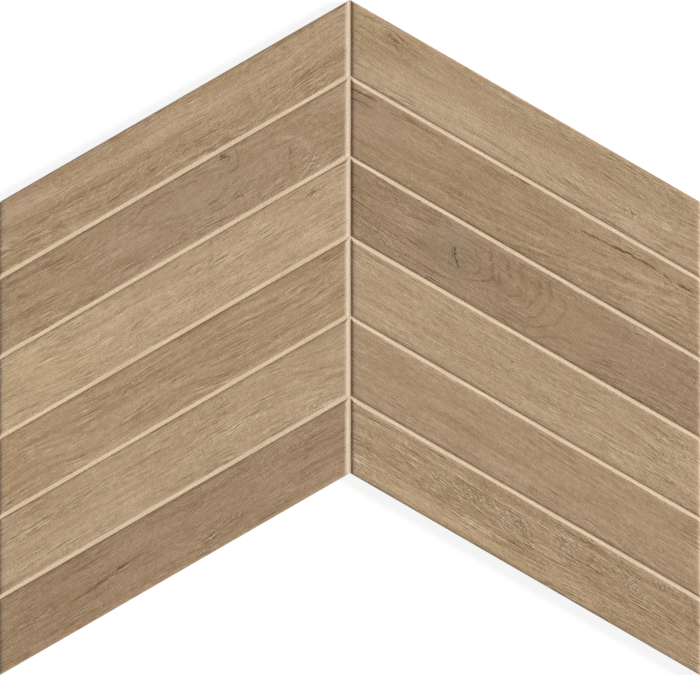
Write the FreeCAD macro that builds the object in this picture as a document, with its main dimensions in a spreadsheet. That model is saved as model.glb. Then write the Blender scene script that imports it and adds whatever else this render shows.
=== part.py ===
import FreeCAD, Part

import os
from enum import IntEnum

from FreeCAD import Vector
from Sketcher import Constraint

# Driving dimensions, in millimetres and degrees
SIZES = {
    "tile_width": 400.0,
    "tile_thickness": 9.5,
    "chevron_angle": 30.0,
    "strips_per_side": 6,
    "strip_width": 38.3,
    "joint_width": 1.2,
    "grout_joint": 3.0,
    "centre_joint_width": 2.0,
    "joint_depth": 1.2,
    "joint_draft": 15.0,
    "edge_radius": 1.0,
    "least_plain_wall": 0.15,
    "back_arris": 0.8,
    "back_border": 9.0,
    "centre_rib": 12.0,
    "channel_count": 12,
    "channel_rib": 6.0,
    "channel_depth": 0.6,
}

# Sizes worked out from the driving dimensions, as expressions on the sheet
HALF_WIDTH = "(Sizes.tile_width / 2)"
SLOPE = "tan(Sizes.chevron_angle)"
SLANT = "cos(Sizes.chevron_angle)"
RISE = f"({HALF_WIDTH} * {SLOPE})"
JOINT_PITCH = "(Sizes.strip_width + Sizes.joint_width)"
BAND = f"(Sizes.strips_per_side * {JOINT_PITCH} - Sizes.grout_joint)"
# The outermost strips are narrower, so that the pitch runs on over the grout to the next tile
OUTER_STRIP = f"({JOINT_PITCH} - (Sizes.joint_width + Sizes.grout_joint) / 2)"
COLUMN = f"({BAND} / {SLANT})"
APEX = f"(({COLUMN} + {RISE}) / 2)"
FLOOR_LEVEL = "(Sizes.tile_thickness - Sizes.joint_depth)"
EDGE_RADIUS = "min(Sizes.edge_radius; Sizes.joint_depth - Sizes.least_plain_wall)"
RIBS = "((Sizes.channel_count - 1) * Sizes.channel_rib)"
CHANNEL_WIDTH = f"(({BAND} - 2 * Sizes.back_border - {RIBS}) / Sizes.channel_count)"
CHANNEL_PITCH = f"({CHANNEL_WIDTH} + Sizes.channel_rib)"

TOLERANCE = 1e-6


class Sketched(IntEnum):
    """The numbers of a sketch's own origin and upright axis."""

    ORIGIN = -1
    UPRIGHT = -2


class LineEnd(IntEnum):
    """The numbers of a drawn line's two tips."""

    START = 1
    END = 2


def add_sheet(doc):
    """Writes the driving dimensions into a sheet, one named cell each."""
    sheet = doc.addObject("Spreadsheet::Sheet", "Sizes")
    for row, (name, value) in enumerate(SIZES.items(), start=1):
        sheet.set(f"A{row}", name)
        sheet.set(f"B{row}", str(value))
        sheet.setAlias(f"B{row}", name)
    doc.recompute()


def origin_feature(body, role):
    """Returns the body's own origin plane or axis of that role."""
    return next(item for item in body.Origin.OriginFeatures if item.Role == role)


def sketch_on(body, name, role):
    """Makes an empty sketch on one of the body's own origin planes."""
    sketch = body.newObject("Sketcher::SketchObject", name)
    sketch.AttachmentSupport = [(origin_feature(body, role), "")]
    sketch.MapMode = "FlatFace"
    return sketch


def draw_outline(sketch, rough_points):
    """Draws a closed outline of straight lines through points that the constraints then move."""
    count = len(rough_points)
    for index in range(count):
        start = Vector(*rough_points[index], 0)
        end = Vector(*rough_points[(index + 1) % count], 0)
        sketch.addGeometry(Part.LineSegment(start, end), False)
    for index in range(count):
        following = (index + 1) % count
        sketch.addConstraint(Constraint("Coincident", index, LineEnd.END, following, LineEnd.START))


def size_between(sketch, kind, first, second, name, expression):
    """Sets the distance from one line's start to another's with an expression on the sheet."""
    index = sketch.addConstraint(Constraint(kind, first, LineEnd.START, second, LineEnd.START, 1.0))
    sketch.renameConstraint(index, name)
    sketch.setExpression(f"Constraints.{name}", expression)


def half_outline_sketch(body):
    """Draws the right half of the tile as seen on its face: one leaning column of strips."""
    sketch = sketch_on(body, "half_outline", "XY_Plane")
    draw_outline(sketch, [(0, 60), (90, 20), (90, -40), (0, -10)])
    apex, shoulder, foot, notch = range(4)
    for corner in (apex, notch):
        sketch.addConstraint(Constraint("PointOnObject", corner, LineEnd.START, Sketched.UPRIGHT))
    sketch.addConstraint(Constraint("Vertical", shoulder))
    sketch.addConstraint(Constraint("Parallel", apex, foot))
    size_between(sketch, "DistanceX", Sketched.ORIGIN, shoulder, "half_width", HALF_WIDTH)
    size_between(sketch, "DistanceY", Sketched.ORIGIN, apex, "apex", APEX)
    size_between(sketch, "DistanceY", shoulder, apex, "rise", RISE)
    size_between(sketch, "DistanceY", notch, apex, "column_height", COLUMN)
    return sketch


def draw_joint_section(sketch, upper_edge, floor_width):
    """Draws a joint's section: a flat floor between two walls that lean back to the face."""
    draw_outline(sketch, [(3, 5), (1, 2), (-1, 2), (-3, 5)])
    wall, floor, far_wall, mouth = range(4)
    lean = "Sizes.joint_depth * tan(Sizes.joint_draft)"
    sketch.addConstraint(Constraint("Horizontal", floor))
    sketch.addConstraint(Constraint("Horizontal", mouth))
    size_between(sketch, "DistanceX", Sketched.ORIGIN, floor, "upper_edge", upper_edge)
    size_between(sketch, "DistanceY", Sketched.ORIGIN, floor, "floor_level", FLOOR_LEVEL)
    size_between(sketch, "DistanceX", far_wall, floor, "floor_width", floor_width)
    size_between(sketch, "DistanceY", floor, wall, "depth", "Sizes.joint_depth")
    size_between(sketch, "DistanceX", floor, wall, "lean", lean)
    size_between(sketch, "DistanceX", mouth, far_wall, "far_lean", lean)


def joint_sketch(body):
    """Draws the uppermost joint's section, square to the strips of the right half."""
    sketch = sketch_on(body, "joint_section", "YZ_Plane")
    turn = FreeCAD.Rotation(Vector(0, 1, 0), -SIZES["chevron_angle"])
    sketch.AttachmentOffset = FreeCAD.Placement(Vector(0, 0, 0), turn)
    sketch.setExpression("AttachmentOffset.Rotation.Angle", "-Sizes.chevron_angle * 1 deg")
    draw_joint_section(sketch, f"{APEX} * {SLANT} - {OUTER_STRIP}", "Sizes.joint_width")
    return sketch


def centre_joint_sketch(body):
    """Draws the section of the joint between the two halves."""
    sketch = sketch_on(body, "centre_joint_section", "XZ_Plane")
    draw_joint_section(sketch, "Sizes.centre_joint_width / 2", "Sizes.centre_joint_width")
    return sketch


def channel_sketch(body):
    """Draws the uppermost keying channel of the back's right half."""
    sketch = sketch_on(body, "back_channel_outline", "XY_Plane")
    draw_outline(sketch, [(10, 50), (80, 20), (80, 10), (10, 40)])
    inner_top, outer_top, outer_foot, inner_foot = range(4)
    inner = "Sizes.centre_rib / 2"
    length = f"({HALF_WIDTH} - Sizes.back_border - {inner})"
    sketch.addConstraint(Constraint("Vertical", outer_top))
    sketch.addConstraint(Constraint("Vertical", inner_foot))
    size_between(sketch, "DistanceX", Sketched.ORIGIN, inner_top, "inner_end", inner)
    size_between(sketch, "DistanceX", inner_top, outer_top, "length", length)
    upper_corner = f"{APEX} - Sizes.back_border / {SLANT} - {inner} * {SLOPE}"
    height = f"{CHANNEL_WIDTH} / {SLANT}"
    size_between(sketch, "DistanceY", Sketched.ORIGIN, inner_top, "upper_corner", upper_corner)
    size_between(sketch, "DistanceY", outer_top, inner_top, "fall", f"{length} * {SLOPE}")
    size_between(sketch, "DistanceY", inner_foot, inner_top, "inner_height", height)
    size_between(sketch, "DistanceY", outer_foot, outer_top, "outer_height", height)
    return sketch


def cut_right_through(body, name, section):
    """Cuts a section through the whole tile, both ways from its sketch."""
    pocket = body.newObject("PartDesign::Pocket", name)
    pocket.Profile = section
    pocket.SideType = "Symmetric"
    pocket.Type = "ThroughAll"
    return pocket


def edges_at(shape, level):
    """Names the edges of a shape that lie at one height above the back."""
    return [
        f"Edge{number}"
        for number, edge in enumerate(shape.Edges, start=1)
        if all(abs(vertex.Z - level) < TOLERANCE for vertex in edge.Vertexes)
    ]


def spaced_pattern(body, name, axis, pitch, count):
    """Repeats a feature across the strips, from the apex towards the notch."""
    pattern = body.newObject("PartDesign::LinearPattern", name)
    pattern.Direction = axis
    pattern.Reversed = True
    pattern.Mode = "Spacing"
    pattern.setExpression("Offset", pitch)
    pattern.setExpression("Occurrences", count)
    return pattern


def add_half(body):
    """Pads the right half to the tile's thickness and moulds the joints between its strips."""
    half = body.newObject("PartDesign::Pad", "half_slab")
    half.Profile = half_outline_sketch(body)
    half.setExpression("Length", "Sizes.tile_thickness")
    body.Document.recompute()

    section = joint_sketch(body)
    joint = cut_right_through(body, "joint", section)
    body.Document.recompute()

    across = (section, ["H_Axis"])
    joints = spaced_pattern(body, "joints", across, JOINT_PITCH, "Sizes.strips_per_side - 1")
    joints.Originals = [joint]
    body.Tip = joints
    body.Document.recompute()


def add_other_half(body):
    """Mirrors the half about the centre line and moulds the joint where the two meet."""
    both = body.newObject("PartDesign::Mirrored", "both_halves")
    both.TransformMode = "Whole shape"
    both.MirrorPlane = (origin_feature(body, "YZ_Plane"), [""])
    body.Tip = both
    body.Document.recompute()

    cut_right_through(body, "centre_joint", centre_joint_sketch(body))
    body.Document.recompute()


def break_back_arris(body):
    """Breaks the sharp arris round the back."""
    blank = body.Tip
    arris = body.newObject("PartDesign::Chamfer", "back_arris")
    arris.Base = (blank, edges_at(blank.Shape, 0.0))
    arris.setExpression("Size", "Sizes.back_arris")
    body.Document.recompute()


def add_back_channels(body):
    """Sinks the keying channels that the adhesive grips, in rows parallel to the strips."""
    channel = body.newObject("PartDesign::Pocket", "back_channel")
    channel.Profile = channel_sketch(body)
    channel.Reversed = True
    channel.setExpression("Length", "Sizes.channel_depth")
    body.Document.recompute()

    rows = body.newObject("PartDesign::MultiTransform", "back_channels")
    rows.Originals = [channel]
    upright = (origin_feature(body, "Y_Axis"), [""])
    spacing = f"{CHANNEL_PITCH} / {SLANT}"
    down = spaced_pattern(body, "channel_rows", upright, spacing, "Sizes.channel_count")
    across = body.newObject("PartDesign::Mirrored", "channel_halves")
    across.MirrorPlane = (origin_feature(body, "YZ_Plane"), [""])
    rows.Transformations = [down, across]
    body.Tip = rows
    body.Document.recompute()


def round_strip_edges(body):
    """Rounds the upper edges of every strip, and leaves a plain foot to the joints' walls."""
    sharp = body.Tip
    rounding = body.newObject("PartDesign::Fillet", "strip_edges")
    rounding.Base = (sharp, edges_at(sharp.Shape, SIZES["tile_thickness"]))
    rounding.setExpression("Radius", EDGE_RADIUS)
    body.Document.recompute()


def build_tile(doc):
    """Builds the tile, face up, with its origin under the middle of its outline."""
    body = doc.addObject("PartDesign::Body", "chevron_tile")
    body.Label = "chevron_tile"
    add_half(body)
    add_other_half(body)
    break_back_arris(body)
    add_back_channels(body)
    round_strip_edges(body)
    body.Placement = FreeCAD.Placement(Vector(0, 0, 0), FreeCAD.Rotation())
    return body


def check_document(doc, bodies):
    """Stops if any object failed or a body is not one sound solid."""
    for item in doc.Objects:
        if "Invalid" in item.State or "Error" in item.State:
            raise RuntimeError(f"{item.Name} failed: {item.State}")
    for body in bodies:
        if body.Shape.isNull() or not body.Shape.isValid() or len(body.Shape.Solids) != 1:
            raise RuntimeError(f"{body.Label} is not one valid solid")


doc = FreeCAD.newDocument("ChevronTile")
add_sheet(doc)
bodies = [build_tile(doc)]
doc.recompute()
check_document(doc, bodies)
os.makedirs("parts", exist_ok=True)
for body in bodies:
    body.Shape.exportStep(f"parts/{body.Label}.step")
    box = body.Shape.optimalBoundingBox()
    print(f"{body.Label}: {box.XLength:.1f} x {box.YLength:.1f} x {box.ZLength:.1f} mm")
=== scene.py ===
"""A chevron wall tile in one glazed piece, moulded as six oak-look strips on each side of a centre joint."""

import logging
import math
from collections.abc import Sequence
from dataclasses import dataclass, field
from enum import Enum

import bmesh
import bpy
import numpy as np
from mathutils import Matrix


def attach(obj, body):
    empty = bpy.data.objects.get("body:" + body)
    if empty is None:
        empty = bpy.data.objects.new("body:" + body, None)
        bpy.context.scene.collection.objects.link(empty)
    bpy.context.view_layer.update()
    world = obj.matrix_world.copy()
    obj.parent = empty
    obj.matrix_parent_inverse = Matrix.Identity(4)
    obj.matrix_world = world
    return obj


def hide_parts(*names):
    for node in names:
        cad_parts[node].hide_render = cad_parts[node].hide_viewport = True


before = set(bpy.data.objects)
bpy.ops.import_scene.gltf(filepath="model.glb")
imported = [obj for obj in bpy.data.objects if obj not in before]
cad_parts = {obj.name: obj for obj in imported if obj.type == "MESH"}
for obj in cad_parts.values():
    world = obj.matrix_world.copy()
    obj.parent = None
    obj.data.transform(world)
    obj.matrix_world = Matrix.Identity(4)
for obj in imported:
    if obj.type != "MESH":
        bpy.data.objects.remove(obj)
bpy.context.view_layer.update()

METRES = 0.001  # a millimetre in Blender's units
NOISE_MEAN = 0.5
NOISE_SPREAD = 0.075  # standard deviation of a Noise Texture's factor

log = logging.getLogger("chevron_tile")

Colour = tuple[float, float, float]


def linear(colour: Colour) -> tuple[float, float, float, float]:
    """Turns an sRGB colour into the linear one that a shader socket takes.

    Args:
        colour: Red, green and blue from 0 to 255.

    Returns:
        Linear red, green, blue and an alpha of 1.
    """
    shares = [min(max(c / 255.0, 0.0), 1.0) for c in colour]
    rgb = [s / 12.92 if s <= 0.04045 else ((s + 0.055) / 1.055) ** 2.4 for s in shares]
    return rgb[0], rgb[1], rgb[2], 1.0


class Value:
    """A number socket that takes part in Python sums; each operator adds a Math node."""

    def __init__(self, graph: "Graph", socket: bpy.types.NodeSocket) -> None:
        """Keeps the socket and the graph that it belongs to."""
        self.graph = graph
        self.socket = socket

    def __add__(self, other: "Term") -> "Value":
        """Adds a term."""
        return self.graph.math("ADD", self, other)

    def __radd__(self, other: "Term") -> "Value":
        """Adds this value to a term."""
        return self.graph.math("ADD", other, self)

    def __sub__(self, other: "Term") -> "Value":
        """Takes a term away."""
        return self.graph.math("SUBTRACT", self, other)

    def __rsub__(self, other: "Term") -> "Value":
        """Takes this value away from a term."""
        return self.graph.math("SUBTRACT", other, self)

    def __mul__(self, other: "Term") -> "Value":
        """Multiplies by a term."""
        return self.graph.math("MULTIPLY", self, other)

    def __rmul__(self, other: "Term") -> "Value":
        """Multiplies a term by this value."""
        return self.graph.math("MULTIPLY", other, self)

    def __truediv__(self, other: "Term") -> "Value":
        """Divides by a term."""
        return self.graph.math("DIVIDE", self, other)

    def __neg__(self) -> "Value":
        """Turns the sign round."""
        return self.graph.math("MULTIPLY", self, -1.0)

    def __abs__(self) -> "Value":
        """Drops the sign."""
        return self.graph.math("ABSOLUTE", self)

    def low(self, other: "Term") -> "Value":
        """Gives the lower of this value and a term."""
        return self.graph.math("MINIMUM", self, other)

    def high(self, other: "Term") -> "Value":
        """Gives the higher of this value and a term."""
        return self.graph.math("MAXIMUM", self, other)

    def bell(self) -> "Value":
        """Gives 1 where this value is 0, falling away smoothly on both sides."""
        return self.graph.math("EXPONENT", -(self * self))

    def ramp(self, start: float, end: float) -> "Value":
        """Rises straight from 0 at start to 1 at end."""
        return self.graph.spread(self, start, end, "LINEAR")

    def ease(self, start: float, end: float) -> "Value":
        """Rises smoothly from 0 at start to 1 at end."""
        return self.graph.spread(self, start, end, "SMOOTHSTEP")


Term = Value | float | int


class PlaceNode(Enum):
    """The node and output that give a point of the tile in each kind of node tree."""

    FINISH = ("ShaderNodeTexCoord", "Object")
    RELIEF = ("GeometryNodeInputPosition", "Position")


class Graph:
    """The nodes of one finish or one relief."""

    def __init__(self, tree: bpy.types.NodeTree, place: PlaceNode) -> None:
        """Empties the tree and notes where it takes its places from."""
        self.tree = tree
        self.place_node = place
        tree.nodes.clear()

    def add(
        self,
        kind: str,
        settings: dict[str, object] | None = None,
        sockets: dict[str | int, object] | None = None,
    ) -> bpy.types.Node:
        """Adds a node, applies its settings, then fills its sockets.

        Args:
            kind: The node's type name.
            settings: Properties by name; "stops" fills a colour ramp and "curve" a float curve.
            sockets: A number, colour, Value or output socket for each input, by name or place.

        Returns:
            The new node.
        """
        node = self.tree.nodes.new(kind)
        for name, setting in (settings or {}).items():
            if name == "stops":
                self.fill_ramp(node, setting)
            elif name == "curve":
                self.fill_curve(node, setting)
            else:
                setattr(node, name, setting)
        for name, filling in (sockets or {}).items():
            if isinstance(filling, Value):
                filling = filling.socket
            if isinstance(filling, bpy.types.NodeSocket):
                self.tree.links.new(filling, node.inputs[name])
            else:
                node.inputs[name].default_value = filling
        return node

    @staticmethod
    def fill_ramp(node: bpy.types.Node, stops: Sequence[tuple[float, tuple[float, ...]]]) -> None:
        """Gives a colour ramp its stops.

        Args:
            node: The ramp.
            stops: The place and linear colour of each stop.
        """
        elements = node.color_ramp.elements
        while len(elements) < len(stops):
            elements.new(1.0)
        for element, (place, colour) in zip(elements, stops):
            element.position = place
            element.color = colour

    @staticmethod
    def fill_curve(node: bpy.types.Node, points: Sequence[tuple[float, float]]) -> None:
        """Gives a float curve its points.

        Args:
            node: The curve.
            points: Places from 0 to 1 along and up, the first at 0 and the last at 1 along.
        """
        curve = node.mapping.curves[0]
        while len(curve.points) < len(points):
            curve.points.new(0.5, 0.5)
        for handle, point in zip(curve.points, points):
            handle.location = point
            handle.handle_type = "AUTO"
        node.mapping.update()

    def math(self, operation: str, *terms: Term) -> Value:
        """Adds a Math node of one operation on one or two terms."""
        node = self.add("ShaderNodeMath", {"operation": operation}, dict(enumerate(terms)))
        return Value(self, node.outputs[0])

    def spread(self, value: Value, start: float, end: float, easing: str) -> Value:
        """Maps a value so that it goes from 0 at start to 1 at end.

        Args:
            value: The value to map.
            start: Where the result is 0.
            end: Where the result is 1; it may be below start.
            easing: LINEAR or SMOOTHSTEP.

        Returns:
            The mapped value, held between 0 and 1.
        """
        node = self.add(
            "ShaderNodeMapRange",
            {"interpolation_type": easing, "clamp": True},
            {"Value": value, "From Min": start, "From Max": end, "To Min": 0.0, "To Max": 1.0},
        )
        return Value(self, node.outputs["Result"])

    def place(self) -> tuple[Value, Value, Value]:
        """Gives the point being drawn in millimetres, as x, y and z."""
        kind, output = self.place_node.value
        point = self.add(kind).outputs[output]
        scaled = self.add("ShaderNodeVectorMath", {"operation": "SCALE"}, {0: point, "Scale": 1.0 / METRES})
        parts = self.add("ShaderNodeSeparateXYZ", None, {0: scaled.outputs[0]})
        return tuple(Value(self, out) for out in parts.outputs)

    def noise(self, x: Term, y: Term, z: Term, detail: float = 1.0) -> Value:
        """Adds a Noise Texture, brought to a mean of 0 and a spread of about 1.

        Args:
            x: First coordinate, in grains of the noise.
            y: Second coordinate.
            z: Third coordinate, also used as a seed.
            detail: How many finer layers are added.

        Returns:
            The noise.
        """
        point = self.add("ShaderNodeCombineXYZ", None, {0: x, 1: y, 2: z})
        settings = {"noise_dimensions": "3D", "normalize": True}
        sockets = {"Vector": point.outputs[0], "Scale": 1.0, "Detail": detail, "Roughness": 0.5}
        node = self.add("ShaderNodeTexNoise", settings, sockets)
        return (Value(self, node.outputs[0]) - NOISE_MEAN) / NOISE_SPREAD

    def mix(self, share: Term, first: object, second: object) -> bpy.types.NodeSocket:
        """Mixes two linear colours; a share of 1 gives the second."""
        node = self.add("ShaderNodeMix", {"data_type": "RGBA"}, {0: share, 6: first, 7: second})
        return node.outputs[2]

    def ramp_colour(self, share: Value, stops: Sequence[tuple[float, tuple[float, ...]]]) -> bpy.types.NodeSocket:
        """Looks a colour up in a ramp of linear colours."""
        return self.add("ShaderNodeValToRGB", {"stops": stops}, {0: share}).outputs[0]


@dataclass(frozen=True)
class Layout:
    """Sizes of the tile in millimetres; the face is up, the apex towards +Y and the back on the floor."""

    width: float = 400.0
    thickness: float = 9.5
    slope: float = math.radians(30.0)
    strips: int = 6
    strip_width: float = 38.3
    joint_width: float = 1.2
    grout_joint: float = 3.0
    print_start: float = 0.6
    print_pitch: float = 39.1
    centre_joint_width: float = 2.0
    joint_depth: float = 1.2
    joint_draft: float = math.radians(15.0)
    edge_radius: float = 1.0
    back_arris: float = 0.8
    back_border: float = 9.0
    centre_rib: float = 12.0
    channel_count: int = 12
    channel_rib: float = 6.0
    channel_depth: float = 0.6

    @property
    def half_width(self) -> float:
        """Distance from the centre joint to an upright side."""
        return self.width / 2

    @property
    def pitch(self) -> float:
        """Distance from one strip's upper edge to the next, square to the strips."""
        return self.strip_width + self.joint_width

    @property
    def across(self) -> float:
        """Width of all the strips on one side, square to them; the pitch runs on over the grout."""
        return self.pitch * self.strips - self.grout_joint

    @property
    def apex(self) -> float:
        """Height of the apex over the tile's middle."""
        return (self.across / math.cos(self.slope) + self.half_width * math.tan(self.slope)) / 2

    @property
    def floor_level(self) -> float:
        """Height of a joint's floor over the back."""
        return self.thickness - self.joint_depth

    @property
    def channel_width(self) -> float:
        """Width of a channel in the back, square to the strips."""
        room = self.across - 2 * self.back_border - (self.channel_count - 1) * self.channel_rib
        return room / self.channel_count

    def joint_lines(self) -> list[float]:
        """Gives the slanted joints' centre lines, as distances from the upper edge square to the strips."""
        return [self.pitch * k - self.grout_joint / 2 for k in range(1, self.strips)]

    def strip_edges(self, row: int) -> tuple[float, float]:
        """Gives a strip's two edges as distances from the tile's upper edge, square to the strips."""
        lines = self.joint_lines()
        upper = lines[row - 1] + self.joint_width / 2 if row > 0 else 0.0
        lower = lines[row] - self.joint_width / 2 if row < len(lines) else self.across
        return upper, lower

    def print_top(self, row: int) -> float:
        """Gives where a strip's print starts, as a distance from the tile's upper edge."""
        return self.print_start + self.print_pitch * row if row > 0 else 0.0

    def joint_reach(self, floor: float) -> float:
        """Gives how far a joint's rounding reaches from its centre line.

        Args:
            floor: Half the width of the joint's floor.

        Returns:
            The distance at which the face is flat again.
        """
        turn = (math.pi / 2 - self.joint_draft) / 2
        return floor + self.joint_depth * math.tan(self.joint_draft) + self.edge_radius * math.tan(turn)


class Side(Enum):
    """A half of the tile, by the sign of x there."""

    LEFT = -1
    RIGHT = 1


@dataclass
class Ground:
    """The oak print of one strip while it is drawn; places are in millimetres, tones in sRGB levels."""

    graph: Graph
    seed: float
    along: Value
    across: Value
    grain: Value = field(init=False)
    tone: Term = 0.0
    texture: Term = 0.0
    patches: Term = 0.0
    lively: Term = 1.0
    fleck_share: Term = 0.0
    wander: Term = 0.0
    swell: Term = 1.0
    gaps: Term = 0.0
    crumble: Term = 0.0
    stains: list[tuple[Value, Colour]] = field(default_factory=list)

    def __post_init__(self) -> None:
        """Starts with straight grain."""
        self.grain = self.across

    def roughen(self) -> None:
        """Makes the unevenness that all the strip's marks share; one noise for each keeps the finish small."""
        self.wander = self.cloud(5.0, 4.0, 40.0) * 0.12
        self.swell = 1.0 + self.cloud(7.0, 3.0, 41.0) * 0.25
        self.gaps = self.cloud(4.0, 3.0, 42.0)
        self.crumble = self.cloud(1.6, 1.2, 43.0, 2.0) * 0.14

    def streaks(self, length: float, width: float, salt: float, detail: float = 1.0) -> Value:
        """Gives noise drawn out along the grain.

        Args:
            length: Size of the noise along the grain.
            width: Size of the noise across the grain.
            salt: A number that sets this noise apart from the strip's others.
            detail: How many finer layers are added.

        Returns:
            Noise of mean 0 and a spread of about 1.
        """
        return self.graph.noise(self.along / length, self.grain / width, self.seed + salt, detail)

    def cloud(self, length: float, width: float, salt: float, detail: float = 1.0) -> Value:
        """Gives noise that doesn't follow the grain, with the same terms as streaks."""
        return self.graph.noise(self.along / length, self.across / width, self.seed + salt, detail)

    def oval(self, along: float, across: float, reach: float, spread: float) -> Value:
        """Gives a soft oval, 1 at its middle."""
        x = (self.along - along) / reach
        y = (self.across - across) / spread
        return self.graph.math("EXPONENT", -(x * x + y * y))


class Mark:
    """Something that one strip's print shows; the grain's bends come before what is drawn along it."""

    def bend(self, ground: Ground) -> None:
        """Bends the grain; most marks don't."""

    def draw(self, ground: Ground) -> None:
        """Draws on the ground; the grain's bends don't."""


@dataclass(frozen=True)
class Drop(Mark):
    """Grain that goes down the strip between two places along it, by different amounts at each edge."""

    start: float
    end: float
    upper: float
    lower: float

    def bend(self, ground: Ground) -> None:
        """Lowers the grain lines past the start."""
        share = ground.along.ease(self.start, self.end)
        fall = self.upper + (self.lower - self.upper) * ground.across / Layout.strip_width
        ground.grain = ground.grain - share * fall


@dataclass(frozen=True)
class Bulge(Mark):
    """Grain that parts round a knot or a figure."""

    along: float
    across: float
    reach: float
    spread: float
    strength: float = 0.8

    def bend(self, ground: Ground) -> None:
        """Pushes the grain lines away from the middle."""
        share = ground.oval(self.along, self.across, self.reach, self.spread)
        ground.grain = ground.grain - share * (ground.across - self.across) * self.strength


@dataclass(frozen=True)
class Calm(Mark):
    """A soft oval zone where the fine grain hardly shows."""

    along: float
    across: float
    reach: float
    spread: float
    share: float = 0.7

    def bend(self, ground: Ground) -> None:
        """Quietens the grain that is drawn next."""
        oval = ground.oval(self.along, self.across, self.reach, self.spread)
        ground.lively = ground.lively * (1.0 - oval * self.share)


@dataclass(frozen=True)
class Band(Mark):
    """A soft lighter or darker band that follows the grain."""

    across: float
    width: float
    tone: float
    start: float = -50.0
    end: float = 300.0

    def draw(self, ground: Ground) -> None:
        """Adds the band's tone."""
        ends = ground.along.ease(self.start - 15.0, self.start + 15.0)
        ends = ends * ground.along.ease(self.end + 15.0, self.end - 15.0) * self.tone
        ground.tone = ground.tone + ((ground.grain - self.across) / self.width).bell() * ends


@dataclass(frozen=True)
class Shade(Mark):
    """A soft oval patch of lighter or darker wood."""

    along: float
    across: float
    reach: float
    spread: float
    tone: float

    def draw(self, ground: Ground) -> None:
        """Adds the patch's tone."""
        share = ground.oval(self.along, self.across, self.reach, self.spread)
        ground.patches = ground.patches + share * self.tone


@dataclass(frozen=True)
class Stroke(Mark):
    """A thin line along the strip or across it: a pore line, a growth ring, a scratch or an open crack."""

    points: tuple[tuple[float, float], ...]
    tone: float
    width: float = 0.4
    broken: float = 0.0
    depth: float = 0.0
    upright: bool = False

    def draw(self, ground: Ground) -> None:
        """Adds the line's tone and, for a crack, its depth."""
        run, off, room, fade, points = ground.along, ground.across, Layout.strip_width, 4.0, self.points
        if self.upright:
            run, off, room, fade = off, run, Layout.width, 2.0
            points = tuple((t, s) for s, t in points)
        start, end = points[0][0], points[-1][0]
        curve = [((p - start) / (end - start), q / room) for p, q in points]
        line = ground.graph.add("ShaderNodeFloatCurve", {"curve": curve}, {"Value": run.ramp(start, end)})
        middle = Value(ground.graph, line.outputs[0]) * room
        ends = run.ease(start - 1.0, start + fade) * run.ease(end + 1.0, end - fade)
        mask = (((off - middle) / self.width + ground.wander / self.width) / ground.swell).bell() * ends
        if self.broken:
            mask = mask * ground.gaps.ease(2.4 * self.broken - 2.4, 2.4 * self.broken - 1.2)
        ground.tone = ground.tone + mask * self.tone
        if self.depth:
            ground.texture = ground.texture - mask * self.depth


@dataclass(frozen=True)
class Spot(Mark):
    """A small dark or pale spot of uneven outline."""

    along: float
    across: float
    reach: float
    spread: float
    tone: float
    depth: float = 0.03

    def draw(self, ground: Ground) -> None:
        """Adds the spot's tone and dents the face there."""
        mask = ground.oval(self.along, self.across, self.reach, self.spread)
        mask = (mask + ground.crumble).ease(0.3, 0.75)
        ground.tone = ground.tone + mask * self.tone
        ground.texture = ground.texture - mask * self.depth


@dataclass(frozen=True)
class Stain(Mark):
    """A cloud of another hue, such as the grey-green round a knot."""

    along: float
    across: float
    reach: float
    spread: float
    colour: Colour
    strength: float = 0.6

    def draw(self, ground: Ground) -> None:
        """Adds the stain to those that the finish mixes in."""
        mask = ground.oval(self.along, self.across, self.reach, self.spread)
        ground.stains.append(((mask * self.strength * ground.swell).high(0.0).low(1.0), self.colour))


@dataclass(frozen=True)
class Lined(Mark):
    """A part of the strip whose pores run as close short lines."""

    start: float
    end: float
    tone: float
    left: float = -50.0
    right: float = 300.0
    spacing: float = 1.9

    def draw(self, ground: Ground) -> None:
        """Adds the lines' tone and height between two heights of the grain."""
        ends = ground.along.ease(self.left - 12.0, self.left + 12.0)
        ends = ends * ground.along.ease(self.right + 12.0, self.right - 12.0)
        share = ground.grain.ease(self.start - 2.0, self.start + 2.0)
        share = share * ground.grain.ease(self.end + 2.0, self.end - 2.0) * ends
        hatch = ground.graph.math("SINE", ground.grain * (math.tau / self.spacing) + ground.wander * 10.0)
        lines = hatch * (ground.gaps * 0.5 + 0.6).high(0.0) + ground.streaks(8.0, 1.0, 30.0 + self.start) * 0.6
        lines = lines * share
        ground.tone = ground.tone + lines * self.tone
        ground.texture = ground.texture + lines * 0.02


@dataclass(frozen=True)
class Brushed(Mark):
    """A patch where the brushed pores stand out as short pale and dark flecks."""

    along: float
    across: float
    reach: float
    spread: float
    amount: float = 1.0

    def draw(self, ground: Ground) -> None:
        """Raises the share of flecks there."""
        mask = ground.oval(self.along, self.across, self.reach, self.spread) * self.amount
        ground.fleck_share = ground.fleck_share + mask


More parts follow.
